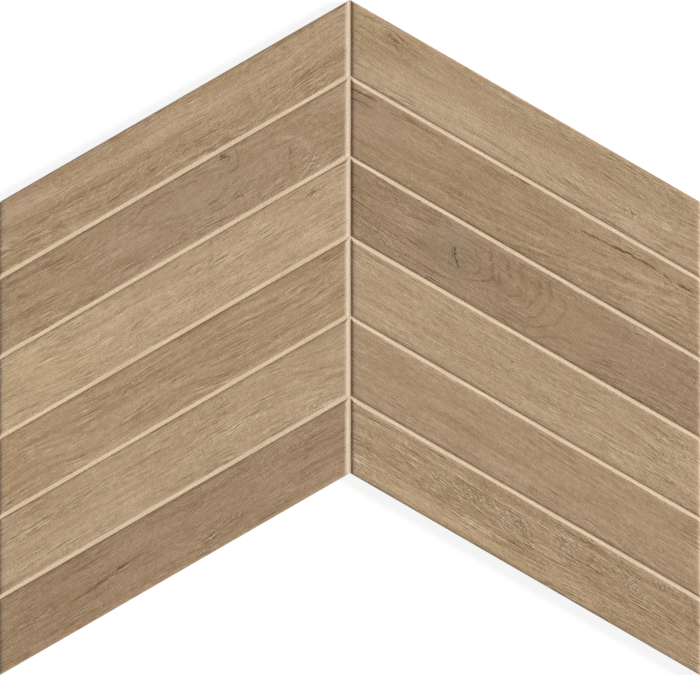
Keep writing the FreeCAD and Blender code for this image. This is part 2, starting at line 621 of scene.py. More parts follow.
@dataclass(frozen=True)
class Strip:
    """One strip of oak print: its colour, how lively its grain is and what it shows."""

    side: Side
    row: int
    colour: Colour
    marks: tuple[Mark, ...] = ()
    broad: float = 2.6
    fine: float = 2.4
    pores: float = 1.0
    fleck: float = 0.25
    fibre: float = 1.0

    @property
    def name(self) -> str:
        """A name for the strip's finish."""
        return f"oak_strip_{self.side.name.lower()}_{self.row + 1}"

    @property
    def seed(self) -> float:
        """A number that sets this strip's noise apart."""
        return 37.0 * (self.row + 1) + (500.0 if self.side is Side.RIGHT else 0.0)

    def lay_out(self, graph: Graph, layout: Layout) -> Ground:
        """Finds the places along and across the strip and bends its grain.

        Args:
            graph: The nodes to draw with.
            layout: The tile's sizes.

        Returns:
            The ground, with nothing drawn on it.
        """
        x, y, _ = graph.place()
        sine, cosine = math.sin(layout.slope), math.cos(layout.slope)
        drop = layout.print_top(self.row) / cosine
        if self.side is Side.LEFT:
            start_x, start_y = -layout.half_width, layout.apex - layout.half_width * math.tan(layout.slope) - drop
            along = (x - start_x) * cosine + (y - start_y) * sine
            across = (x - start_x) * sine - (y - start_y) * cosine
        else:
            along = x * cosine - (y - (layout.apex - drop)) * sine
            across = -(x * sine) - (y - (layout.apex - drop)) * cosine
        ground = Ground(graph, self.seed, along, across)
        for mark in self.marks:
            mark.bend(ground)
        ground.grain = ground.grain + ground.cloud(80.0, 26.0, 1.0) * 0.6 + ground.cloud(18.0, 9.0, 2.0) * 0.1
        return ground

    def ground(self, graph: Graph, layout: Layout) -> Ground:
        """Draws the strip's print, with the same terms as lay_out."""
        ground = self.lay_out(graph, layout)
        ground.roughen()
        self.draw_grain(ground)
        for mark in self.marks:
            mark.draw(ground)
        self.draw_flecks(ground)
        ground.tone = ground.tone + ground.patches
        return ground

    def relief(self, ground: Ground) -> Value:
        """Gives the height of the brushed grain, in millimetres over the mean face."""
        height = ground.streaks(150.0, 6.5, 3.0) * 0.03 + ground.streaks(55.0, 2.3, 4.0) * 0.025
        return height.low(0.04) * ground.lively

    def draw_grain(self, ground: Ground) -> None:
        """Draws the strip's plain grain: broad streaks, fine lines, fibres, pores and clouds."""
        broad = ground.streaks(150.0, 6.5, 3.0)
        lines = ground.streaks(55.0, 2.3, 4.0)
        thin = ground.streaks(30.0, 1.0, 5.0)
        fibres = ground.streaks(9.0, 0.6, 6.0)
        grit = ground.cloud(1.1, 0.7, 9.0)
        mottle = ground.cloud(4.4, 2.2, 13.0)
        lively = (0.9 + 0.38 * ground.cloud(22.0, 8.0, 12.0)).high(0.15) * ground.lively
        pores = ground.streaks(10.0, 0.7, 7.0).ease(1.1, 2.6)
        tone = broad * self.broad + lines * (1.05 * self.fine) * (0.5 + 0.5 * ground.lively)
        tone = tone + (thin * (1.35 * self.fine) + fibres * (4.4 * self.fibre) - pores * (10.0 * self.pores)) * lively
        ground.tone = tone + ground.cloud(26.0, 13.0, 8.0) * 1.3 + grit * 3.1 + mottle * 2.1
        fine = (thin * 0.02 + fibres * 0.024) * self.fibre - pores * 0.055
        ground.texture = lines * 0.012 + fine * lively + grit * 0.012 + mottle * 0.012

    def draw_flecks(self, ground: Ground) -> None:
        """Draws the brushed flecks, thick in their patches and thin elsewhere."""
        share = (self.fleck + ground.fleck_share) * (0.8 + 0.3 * ground.cloud(14.0, 6.0, 10.0)).high(0.0)
        flecks = ground.graph.noise(ground.along / 3.2, ground.across / 0.8, ground.seed + 11.0, 1.0).high(-1.4)
        ground.tone = ground.tone + flecks * share * 4.0
        ground.texture = ground.texture + flecks * share * 0.055


@dataclass(frozen=True)
class OakGlaze:
    """The glazed finish of the face: the oak print and beige joints, the beige set a little to the left of the mould's
    joints, on the walls that face the light, as painted highlight, leaving the shaded walls in the darker wood colour
    as painted shade.
    """

    layout: Layout
    joint_colour: Colour = (207.0, 185.0, 158.0)
    # painted light: the slanted joints' beige sits this far towards -x, on the walls lit from the right, so lit walls
    # read pale and shaded walls dark
    lit_side_beige_shift: float = 1.0
    beige_to: float = 0.3
    wood_from: float = 0.95
    # painted light: the centre joint's beige sits this far towards -x, on its lit left wall
    lit_side_pool_shift: float = 0.4
    pool_from: float = 0.2
    pool_to: float = 1.05
    # painted highlight: a paler tint up the centre joint's lit left wall, centred this far towards -x
    lit_wall_highlight_shift: float = 1.6
    lit_wall_highlight_from: float = 0.8
    lit_wall_highlight_to: float = 1.9
    lit_wall_highlight_colour: Colour = (180.0, 162.0, 140.0)
    roughness: float = 0.52
    tone_reach: float = 80.0
    tone_gains: Colour = (1.0, 1.03, 1.12)

    def beige_and_highlight_shares(self, graph: Graph, strip: Strip, across: Value, uneven: Value) -> tuple[Value, Value]:
        """Gives the shares of the joints' beige in a strip's print, shifted onto the walls that face the light as
        painted highlight.

        Args:
            graph: The finish's nodes.
            strip: The strip.
            across: Distance from the upper edge of the strip's print.
            uneven: Millimetres by which the print's edges wander.

        Returns:
            The share of the full beige on the joints' floors and lit walls, set there as painted highlight, and of the
            thin beige up the centre joint's lit left wall, also a painted highlight.
        """
        x, _, _ = graph.place()
        # painted highlight on the centre joint's lit left wall
        run = (abs(x + self.lit_wall_highlight_shift) + uneven).ease(self.lit_wall_highlight_to, self.lit_wall_highlight_from)
        # the centre joint's beige, moved onto its lit wall as painted highlight
        share = (abs(x + self.lit_side_pool_shift) + uneven).ease(self.pool_to, self.pool_from)
        upper, lower = self.layout.strip_edges(strip.row)
        # the slanted joints' beige moved onto their lit walls, as painted highlight and painted shade
        lit_side_offset = self.lit_side_beige_shift * math.sin(self.layout.slope) * strip.side.value
        start = self.layout.print_top(strip.row) - lit_side_offset
        if strip.row > 0:
            share = share.high((across + (start - upper) + uneven).ease(self.wood_from, self.beige_to))
        if strip.row < self.layout.strips - 1:
            share = share.high(((lower - start) - across + uneven).ease(self.wood_from, self.beige_to))
        return share, run

    def material(self, strip: Strip) -> bpy.types.Material:
        """Makes the finish of one strip.

        Args:
            strip: The strip.

        Returns:
            Its material.
        """
        material = bpy.data.materials.new(strip.name)
        material.use_nodes = True
        graph = Graph(material.node_tree, PlaceNode.FINISH)
        ground = strip.ground(graph, self.layout)
        colour = graph.ramp_colour(ground.tone.ramp(-self.tone_reach, self.tone_reach), self.stops(strip))
        for share, hue in ground.stains:
            colour = graph.mix(share, colour, linear(hue))
        speckle = graph.noise(ground.along / 1.6, ground.across / 1.6, ground.seed + 20.0, 2.0)
        cloud = graph.noise(ground.along / 24.0, ground.across / 24.0, ground.seed + 21.0, 1.0)
        pooled = (speckle * 0.05 + cloud * 0.12 + 0.5).low(1.0).high(0.0)
        light, dark = (tuple(c + shift for c in self.joint_colour) for shift in (12.0, -12.0))
        glaze = graph.mix(pooled, linear(dark), linear(light))
        beige_and_highlight, run = self.beige_and_highlight_shares(graph, strip, ground.across, speckle * 0.07 + cloud * 0.1)
        # painted highlight: paler tint on the centre joint's lit left wall
        colour = graph.mix(run, colour, linear(self.lit_wall_highlight_colour))
        # joint beige: partly real print, partly painted light on the lit walls; the shaded walls keep the wood colour
        # as painted shade
        colour = graph.mix(beige_and_highlight, colour, glaze)
        texture = ground.texture * (1.0 - beige_and_highlight) + speckle * beige_and_highlight * 0.012
        bump = graph.add("ShaderNodeBump", None, {"Strength": 1.0, "Distance": METRES, "Height": texture})
        rough = self.roughness + ground.tone * -0.0015 - beige_and_highlight * 0.08
        sockets = {"Base Color": colour, "Roughness": rough, "Normal": bump.outputs[0], "Specular IOR Level": 0.35}
        shader = graph.add("ShaderNodeBsdfPrincipled", None, sockets)
        graph.add("ShaderNodeOutputMaterial", None, {"Surface": shader.outputs[0]})
        return material

    def stops(self, strip: Strip) -> list[tuple[float, tuple[float, ...]]]:
        """Gives the ramp from a strip's darkest tone to its lightest."""
        count = 9
        shares = [i / (count - 1) for i in range(count)]
        tones = [(2 * share - 1) * self.tone_reach for share in shares]
        gains = self.tone_gains
        return [
            (share, linear(tuple(c + tone * gain for c, gain in zip(strip.colour, gains))))
            for share, tone in zip(shares, tones)
        ]


@dataclass(frozen=True)
class Biscuit:
    """The pressed and fired body, bare on the sides."""

    layout: Layout
    name: str = "bare_biscuit_sides"
    colour: Colour = (178.0, 160.0, 138.0)
    glaze_colour: Colour = (200.0, 179.0, 151.0)
    roughness: float = 0.85

    def material(self) -> bpy.types.Material:
        """Makes the sides' finish, with a run of glaze under the face and fine upright drawn streaks."""
        material = bpy.data.materials.new(self.name)
        material.use_nodes = True
        graph = Graph(material.node_tree, PlaceNode.FINISH)
        x, y, z = graph.place()
        specks = graph.noise(x / 0.8, y / 0.8, z / 0.8, 3.0)
        clouds = graph.noise(x / 11.0, y / 11.0, z / 4.0, 2.0)
        drawn = graph.noise(x / 1.1, y / 1.1, z / 9.0, 2.0)
        tone = (0.5 + specks * 0.08 + clouds * 0.1 + drawn * 0.06).low(1.0).high(0.0)
        low, high = (tuple(c + shift for c in self.colour) for shift in (-26.0, 20.0))
        body = graph.ramp_colour(tone, [(0.0, linear(low)), (0.5, linear(self.colour)), (1.0, linear(high))])
        run = (z + clouds * 0.35 + specks * 0.06).ease(self.layout.floor_level - 1.1, self.layout.floor_level - 0.5)
        colour = graph.mix(run, body, linear(self.glaze_colour))
        height = specks * 0.02 + drawn * 0.02
        bump = graph.add("ShaderNodeBump", None, {"Strength": 1.0, "Distance": METRES, "Height": height})
        rough = self.roughness - run * 0.3
        sockets = {"Base Color": colour, "Roughness": rough, "Normal": bump.outputs[0], "Specular IOR Level": 0.35}
        shader = graph.add("ShaderNodeBsdfPrincipled", None, sockets)
        graph.add("ShaderNodeOutputMaterial", None, {"Surface": shader.outputs[0]})
        return material


@dataclass(frozen=True)
class Engobe:
    """The back: bare body with chalky kiln wash rolled over the ribs."""

    layout: Layout
    name: str = "washed_back"
    colour: Colour = (172.0, 154.0, 133.0)
    wash_colour: Colour = (222.0, 216.0, 204.0)
    roughness: float = 0.92

    def material(self) -> bpy.types.Material:
        """Makes the back's finish, with the wash thick on the ribs and thin in the channels."""
        material = bpy.data.materials.new(self.name)
        material.use_nodes = True
        graph = Graph(material.node_tree, PlaceNode.FINISH)
        x, y, z = graph.place()
        specks = graph.noise(x / 0.7, y / 0.7, z, 3.0)
        rolled = graph.noise(x / 3.0, y / 26.0, 4.0, 3.0)
        clouds = graph.noise(x / 40.0, y / 40.0, 7.0, 2.0)
        on_rib = z.ease(self.layout.channel_depth * 0.6, 0.0)
        wash = (0.12 + on_rib * 0.5 + rolled * 0.16 + clouds * 0.08 + specks * 0.05).low(1.0).high(0.0)
        tone = (0.5 + specks * 0.1 + clouds * 0.12).low(1.0).high(0.0)
        low, high = (tuple(c + shift for c in self.colour) for shift in (-20.0, 18.0))
        body = graph.ramp_colour(tone, [(0.0, linear(low)), (1.0, linear(high))])
        colour = graph.mix(wash, body, linear(self.wash_colour))
        height = specks * 0.025 + wash * 0.04
        bump = graph.add("ShaderNodeBump", None, {"Strength": 1.0, "Distance": METRES, "Height": height})
        sockets = {
            "Base Color": colour,
            "Roughness": self.roughness,
            "Normal": bump.outputs[0],
            "Specular IOR Level": 0.25,
        }
        shader = graph.add("ShaderNodeBsdfPrincipled", None, sockets)
        graph.add("ShaderNodeOutputMaterial", None, {"Surface": shader.outputs[0]})
        return material


def oak_strips() -> list[Strip]:
    """Describes the twelve strips, each side from the top down.

    Returns:
        The strips.
    """
    green_grey = (142.0, 128.0, 106.0)
    left = [
        Strip(
            Side.LEFT,
            0,
            (167, 140, 109),
            (
                Drop(0.0, 62.0, 2.5, 6.0),
                Drop(150.0, 226.0, -3.0, -5.0),
                Band(9.6, 3.0, 9.0, 45.0, 260.0),
                Band(15.0, 3.0, -5.0),
                Shade(95.0, 12.5, 28.0, 3.5, 8.0),
                Shade(28.0, 6.5, 30.0, 3.0, 5.0),
                Shade(160.0, 6.5, 30.0, 4.0, -6.0),
                Shade(12.0, 28.0, 14.0, 6.0, -7.0),
                Shade(56.0, 29.0, 16.0, 5.0, -6.0),
                Shade(146.0, 28.0, 12.0, 5.0, -4.0),
                Shade(200.0, 28.0, 18.0, 7.0, -9.0),
                Shade(140.0, 13.5, 44.0, 4.5, 6.0),
                Shade(78.0, 26.5, 12.0, 3.5, 6.0),
                Shade(199.0, 33.0, 12.0, 4.0, -4.0),
                Lined(20.0, 46.0, 5.4),
                Lined(2.0, 8.0, 3.6),
                Calm(70.0, 11.0, 42.0, 4.5, 0.85),
                Calm(128.0, 13.0, 42.0, 5.0, 0.85),
                Calm(190.0, 11.0, 36.0, 4.5, 0.85),
                Calm(98.0, 27.0, 9.0, 7.0, 0.5),
                Calm(150.0, 28.0, 10.0, 6.0, 0.5),
                Brushed(184.0, 28.0, 14.0, 5.0, 0.8),
                Brushed(40.0, 24.0, 45.0, 7.0, 0.4),
                Brushed(130.0, 25.0, 45.0, 7.0, 0.4),
                Brushed(8.0, 3.5, 7.0, 2.5, 0.8),
                Brushed(52.0, 6.0, 18.0, 3.0, 0.4),
                Stain(14.0, 8.0, 14.0, 5.0, (186, 156, 130), 0.5),
            ),
            fine=2.4,
            pores=1.0,
        ),
        Strip(
            Side.LEFT,
            1,
            (161, 134, 104),
            (
                Bulge(117.0, 11.0, 34.0, 9.0, 0.9),
                Bulge(146.0, 1.0, 9.0, 6.0, 0.7),
                Stroke(((79.0, 9.2), (84.0, 7.6), (92.0, 4.6), (101.0, 4.0), (114.0, 4.6), (128.0, 6.2)), -20.0, 0.7),
                Stroke(((82.0, 9.4), (89.0, 13.4), (100.0, 17.0), (114.0, 20.6), (134.0, 21.5)), -16.0, 0.75),
                Stroke(((86.0, 15.5), (98.0, 20.5), (112.0, 23.4), (130.0, 24.6)), -12.0, 0.7, 0.4),
                Stroke(((143.0, 10.3), (148.0, 11.4), (151.5, 10.3)), -36.0, 0.6),
                Stroke(((154.0, 0.5), (154.2, 3.5), (153.2, 7.0), (150.5, 11.0)), -22.0, 0.7, upright=True),
                Stroke(((124.0, 22.4), (131.0, 20.8), (139.5, 19.4)), -26.0, 0.6),
                Stroke(((124.0, 26.3), (137.0, 26.8)), -22.0, 0.5, 0.3),
                Stroke(((137.0, 26.0), (148.5, 25.7)), -36.0, 0.4),
                Stroke(((150.0, 22.6), (157.5, 21.5)), -20.0, 0.5),
                Stroke(((182.0, 15.4), (180.5, 19.0), (178.3, 22.0), (176.8, 25.5), (173.6, 30.0)), -30.0, 0.8, upright=True),
                Stroke(((179.5, 20.0), (177.4, 23.5), (174.4, 29.0)), 20.0, 0.7, upright=True),
                Stroke(((176.0, 7.6), (182.0, 9.4), (187.5, 11.8)), 20.0, 0.9),
                Stroke(((186.5, 11.5), (189.5, 15.5), (191.0, 19.0), (190.0, 24.0)), 15.0, 1.6, upright=True),
                Stroke(((176.0, 34.4), (181.5, 33.2), (186.0, 31.0), (189.0, 28.0)), 16.0, 0.9),
                Stroke(((178.0, 35.4), (183.5, 34.0), (188.5, 31.6)), -20.0, 0.8),
                Stroke(((173.5, 5.4), (181.0, 3.0)), -21.0, 0.8),
                Stroke(((196.0, 3.5), (205.0, 8.0), (215.0, 13.5)), -14.0, 1.1, 0.4),
                Stroke(((198.0, 10.0), (205.0, 17.0), (210.0, 25.0)), -14.0, 1.1, 0.4),
                Stroke(((193.0, 15.0), (198.0, 22.0), (200.0, 30.0)), -12.0, 1.1, 0.4),
                Stroke(((213.0, 10.5), (214.0, 13.0)), 30.0, 0.6, upright=True),
                Brushed(153.5, 31.0, 2.6, 2.6, 1.8),
                Brushed(168.0, 33.0, 3.4, 3.0, 1.6),
                Brushed(142.0, 24.0, 4.0, 1.4, 1.3),
                Brushed(189.0, 29.0, 6.0, 5.0, 1.0),
                Calm(110.0, 12.0, 44.0, 8.5, 0.85),
                Calm(165.0, 14.0, 20.0, 12.0, 0.85),
                Calm(204.0, 14.0, 24.0, 14.0, 0.8),
                Calm(72.0, 23.0, 38.0, 4.0, 0.5),
                Calm(28.0, 17.0, 24.0, 5.0, 0.5),
                Spot(145.8, 1.9, 2.4, 1.3, -130.0, 0.15),
                Spot(148.8, 3.4, 1.1, 0.7, -38.0, 0.1),
                Stain(147.6, 2.8, 5.4, 3.6, (138, 122, 94), 0.35),
                Stain(120.0, 16.0, 50.0, 12.0, (158, 136, 112), 0.35),
                Stroke(((57.0, 13.4), (77.0, 12.2)), 15.0, 0.45, 0.5),
                Stroke(((9.0, 29.0), (21.0, 29.0)), 30.0, 0.5, 0.2),
                Stroke(((14.0, 33.2), (27.0, 33.0)), 20.0, 0.45, 0.3),
                Stroke(((0.0, 22.8), (8.0, 24.0), (22.0, 24.8)), -14.0, 0.5, 0.2),
                Stroke(((26.0, 25.0), (43.0, 24.9)), 12.0, 0.4, 0.4),
                Stroke(((184.0, 25.6), (193.0, 26.4)), 26.0, 0.45, 0.1),
                Stroke(((188.0, 28.6), (193.5, 28.0)), 34.0, 0.5),
                Stroke(((185.0, 32.6), (196.0, 33.4)), 28.0, 0.5, 0.2),
                Brushed(150.0, 26.0, 22.0, 5.0, 0.5),
                Brushed(95.0, 30.0, 30.0, 4.0, 0.6),
                Shade(110.0, 11.0, 22.0, 5.0, -9.0),
                Shade(50.0, 8.0, 25.0, 5.0, -3.0),
                Shade(68.0, 31.5, 42.0, 4.0, 8.0),
                Shade(214.0, 29.0, 12.0, 6.0, -8.0),
                Shade(10.0, 12.0, 10.0, 4.0, -5.0),
                Shade(150.0, 12.0, 18.0, 4.0, -4.0),
                Shade(190.0, 7.0, 16.0, 3.5, -4.0),
            ),
            broad=2.4,
            fine=2.4,
            pores=0.8,
        ),
        Strip(
            Side.LEFT,
            2,
            (179, 153, 121),
            (
                Drop(0.0, 40.0, 1.0, 4.0),
                Drop(90.0, 160.0, -1.0, 1.5),
                Calm(60.0, 14.0, 26.0, 5.0, 0.5),
                Calm(150.0, 27.0, 42.0, 5.0, 0.5),
                Calm(110.0, 14.0, 18.0, 4.0, 0.5),
                Stroke(((90.0, 19.8), (110.0, 20.6), (136.0, 21.4), (166.0, 21.3)), -20.0, 0.5, 0.2),
                Stroke(((22.0, 25.8), (34.0, 27.2), (52.0, 29.4)), -15.0, 0.6, 0.3),
                Stroke(((0.0, 34.0), (8.0, 35.6)), -16.0, 0.6),
                Stroke(((118.0, 11.0), (122.0, 11.6)), -22.0, 0.7),
                Brushed(30.0, 3.5, 14.0, 3.0, 0.8),
                Brushed(138.0, 2.4, 6.0, 1.6, 1.2),
                Brushed(132.0, 9.5, 7.0, 3.0, 0.8),
                Stroke(((84.0, 10.4), (99.0, 10.6)), -9.0, 0.5, 0.4),
                Stroke(((60.0, 2.6), (104.0, 2.2), (150.0, 3.6)), -6.0, 0.5, 0.4),
                Stroke(((118.0, 14.0), (136.0, 13.0)), -7.0, 0.4, 0.4),
                Brushed(12.0, 9.0, 14.0, 4.0, 0.4),
                Brushed(205.0, 7.0, 16.0, 4.0, 0.6),
                Brushed(100.0, 30.0, 50.0, 5.0, 0.4),
                Stain(10.0, 9.0, 14.0, 5.0, (196, 166, 126), 0.4),
                Stain(30.0, 22.0, 24.0, 6.0, (190, 165, 124), 0.35),
                Shade(190.0, 19.0, 16.0, 4.0, 6.0),
                Shade(80.0, 26.0, 14.0, 4.0, -6.0),
                Shade(45.0, 31.5, 12.0, 4.0, -5.0),
                Shade(217.0, 26.0, 10.0, 5.0, -5.0),
            ),
            broad=2.2,
            fine=2.0,
            pores=0.6,
        ),
        Strip(
            Side.LEFT,
            3,
            (166, 138, 107),
            (
                Drop(0.0, 50.0, 2.0, 5.0),
                Drop(60.0, 120.0, 1.0, -3.0),
                Drop(100.0, 132.0, 0.0, 4.0),
                Stroke(((98.0, 24.4), (104.0, 25.6), (116.0, 27.2), (123.0, 29.7), (133.0, 31.6), (141.0, 31.8)), -14.0, 0.5),
                Stroke(((52.0, 27.0), (78.0, 28.0), (98.0, 24.6)), -8.0, 0.5, 0.8),
                Stroke(((6.0, 25.0), (30.0, 31.0)), -8.0, 0.6, 0.8),
                Brushed(83.0, 10.5, 8.0, 3.4, 1.0),
                Brushed(67.0, 9.6, 4.0, 2.4, 0.8),
                Shade(139.0, 6.0, 16.0, 5.0, -15.0),
                Shade(56.0, 32.0, 16.0, 3.6, 14.0),
                Shade(62.0, 25.0, 10.0, 3.0, -6.0),
                Shade(214.0, 12.0, 12.0, 5.0, -5.0),
                Shade(8.0, 19.0, 12.0, 16.0, -4.0),
                Shade(50.0, 13.0, 20.0, 5.0, 5.0),
                Shade(85.0, 6.0, 14.0, 4.0, 4.0),
                Shade(186.0, 31.0, 14.0, 4.0, -8.0),
                Brushed(206.0, 15.0, 10.0, 4.0, 0.4),
                Brushed(178.0, 30.0, 12.0, 4.0, 0.4),
                Brushed(140.0, 7.0, 12.0, 3.0, 0.7),
            ),
            broad=3.1,
            fine=2.6,
            pores=0.3,
            fibre=0.75,
        ),
        Strip(
            Side.LEFT,
            4,
            (174, 148, 117),
            (
                Drop(125.0, 152.0, 0.0, 3.0),
                Drop(150.0, 232.0, 12.0, 6.0),
                Calm(42.0, 23.0, 40.0, 6.0, 0.75),
                Calm(70.0, 7.0, 24.0, 4.5, 0.6),
                Calm(170.0, 10.0, 32.0, 6.5, 0.65),
                Calm(95.0, 19.0, 26.0, 4.5, 0.6),
                Calm(170.0, 28.0, 14.0, 5.0, 0.5),
                Stroke(((1.0, 16.4), (20.0, 16.3), (45.0, 15.8), (74.0, 17.2)), -19.0, 0.5, 0.1),
                Stroke(((70.0, 12.6), (88.0, 11.8), (107.0, 12.4)), -17.0, 0.45, 0.2),
                Stroke(((118.0, 12.2), (130.0, 13.4), (142.0, 14.0)), -16.0, 0.5),
                Stroke(((134.0, 8.0), (142.0, 12.0), (150.0, 16.2)), -18.0, 0.5),
                Stroke(((128.0, 20.8), (150.0, 20.2), (166.0, 20.8)), -13.0, 0.5, 0.3),
                Stroke(((186.0, 12.6), (205.0, 18.0), (226.0, 24.6)), -16.0, 0.5, 0.6),
                Stroke(((196.0, 24.0), (212.0, 27.0)), -12.0, 0.5),
                Spot(107.0, 13.0, 0.5, 1.0, -22.0),
                Spot(213.6, 14.0, 0.5, 0.9, -26.0),
                Brushed(122.0, 23.5, 9.0, 4.0, 1.0),
                Brushed(135.0, 27.0, 8.0, 2.4, 1.2),
                Brushed(191.0, 32.0, 8.0, 4.0, 1.6),
                Brushed(142.0, 5.0, 5.0, 3.5, 1.3),
                Brushed(20.0, 32.0, 10.0, 3.0, 0.8),
                Shade(192.0, 27.0, 20.0, 7.0, 4.0),
                Shade(28.0, 31.5, 12.0, 4.0, -5.0),
                Shade(22.0, 7.0, 24.0, 6.0, -12.0),
                Shade(85.0, 4.5, 50.0, 4.0, -7.0),
                Shade(136.0, 8.0, 18.0, 6.0, -5.0),
                Shade(95.0, 28.0, 20.0, 6.0, 4.0),
                Shade(190.0, 29.0, 14.0, 7.0, 7.0),
            ),
            broad=2.1,
            fine=2.4,
            pores=0.8,
        ),
        Strip(
            Side.LEFT,
            5,
            (152, 125, 96),
            (
                Stroke(
                    ((33.0, 21.8), (50.0, 21.4), (60.0, 20.3), (68.0, 19.2), (74.0, 18.4), (85.0, 18.8)),
                    -27.0,
                    0.48,
                    0.0,
                    0.12,
                ),
                Stroke(((48.0, 21.7), (56.0, 20.8)), -22.0, 0.5, 0.0, 0.1),
                Stroke(((65.0, 19.4), (76.0, 18.4)), -27.0, 0.5, 0.0, 0.1),
                Stroke(((56.0, 22.4), (66.0, 21.0), (74.0, 19.9)), 16.0, 0.45, 0.2),
                Calm(98.0, 15.0, 44.0, 9.0, 0.6),
                Calm(165.0, 19.0, 30.0, 8.0, 0.55),
                Calm(25.0, 14.0, 22.0, 5.0, 0.5),
                Calm(80.0, 29.0, 22.0, 5.0, 0.5),
                Brushed(120.0, 28.0, 6.0, 3.5, 1.5),
                Brushed(140.0, 26.3, 6.0, 2.5, 1.3),
                Brushed(192.0, 7.6, 8.0, 3.4, 1.3),
                Brushed(150.0, 6.0, 30.0, 4.0, 0.5),
                Spot(121.6, 18.2, 0.9, 0.6, -24.0),
                Spot(191.0, 17.6, 0.9, 0.5, -20.0),
                Shade(32.0, 18.0, 24.0, 15.0, -5.0),
                Shade(206.0, 18.0, 24.0, 12.0, 4.0),
                Shade(140.0, 14.0, 18.0, 12.0, 2.5),
                Shade(45.0, 28.0, 12.0, 7.0, -4.0),
            ),
            broad=2.0,
            fine=1.9,
            pores=0.5,
            fibre=0.85,
        ),
    ]
    rings = (
        (((86.0, 7.5), (90.3, 11.3), (93.4, 14.0), (95.4, 17.5), (95.0, 20.5), (91.0, 24.0)), -16.0),
        (((95.0, 5.6), (98.7, 9.2), (101.8, 14.4), (104.6, 18.6), (101.0, 22.2), (95.5, 24.8), (89.0, 27.2)), -23.0),
        (((107.0, 4.6), (109.4, 9.0), (112.0, 12.0), (117.6, 14.4), (122.4, 17.0), (122.6, 19.4), (115.3, 23.1)), -21.0),
        (((122.0, 19.5), (115.3, 23.1), (109.8, 24.4), (103.0, 26.2), (95.0, 28.6)), -15.0),
        (((115.3, 4.0), (117.4, 8.5), (121.0, 11.3), (124.4, 14.0), (126.4, 18.0), (124.6, 23.5)), -14.0),
        (((127.4, 5.2), (130.8, 9.2), (132.2, 12.4), (131.4, 16.0), (130.4, 20.0), (130.2, 23.8)), -25.0),
        (((130.2, 23.6), (125.0, 25.1), (120.9, 27.2), (115.0, 29.6)), -15.0),
        (((133.4, 4.3), (136.9, 7.8), (139.2, 11.3), (139.6, 14.7), (138.2, 18.9), (137.2, 25.1), (132.0, 28.0)), -23.0),
        (((144.5, 8.0), (148.7, 11.6), (150.1, 14.0), (149.0, 18.2), (149.2, 22.2), (147.3, 24.4)), -23.0),
        (((147.3, 24.2), (143.8, 27.2), (139.7, 30.0), (133.4, 33.5)), -21.0),
    )
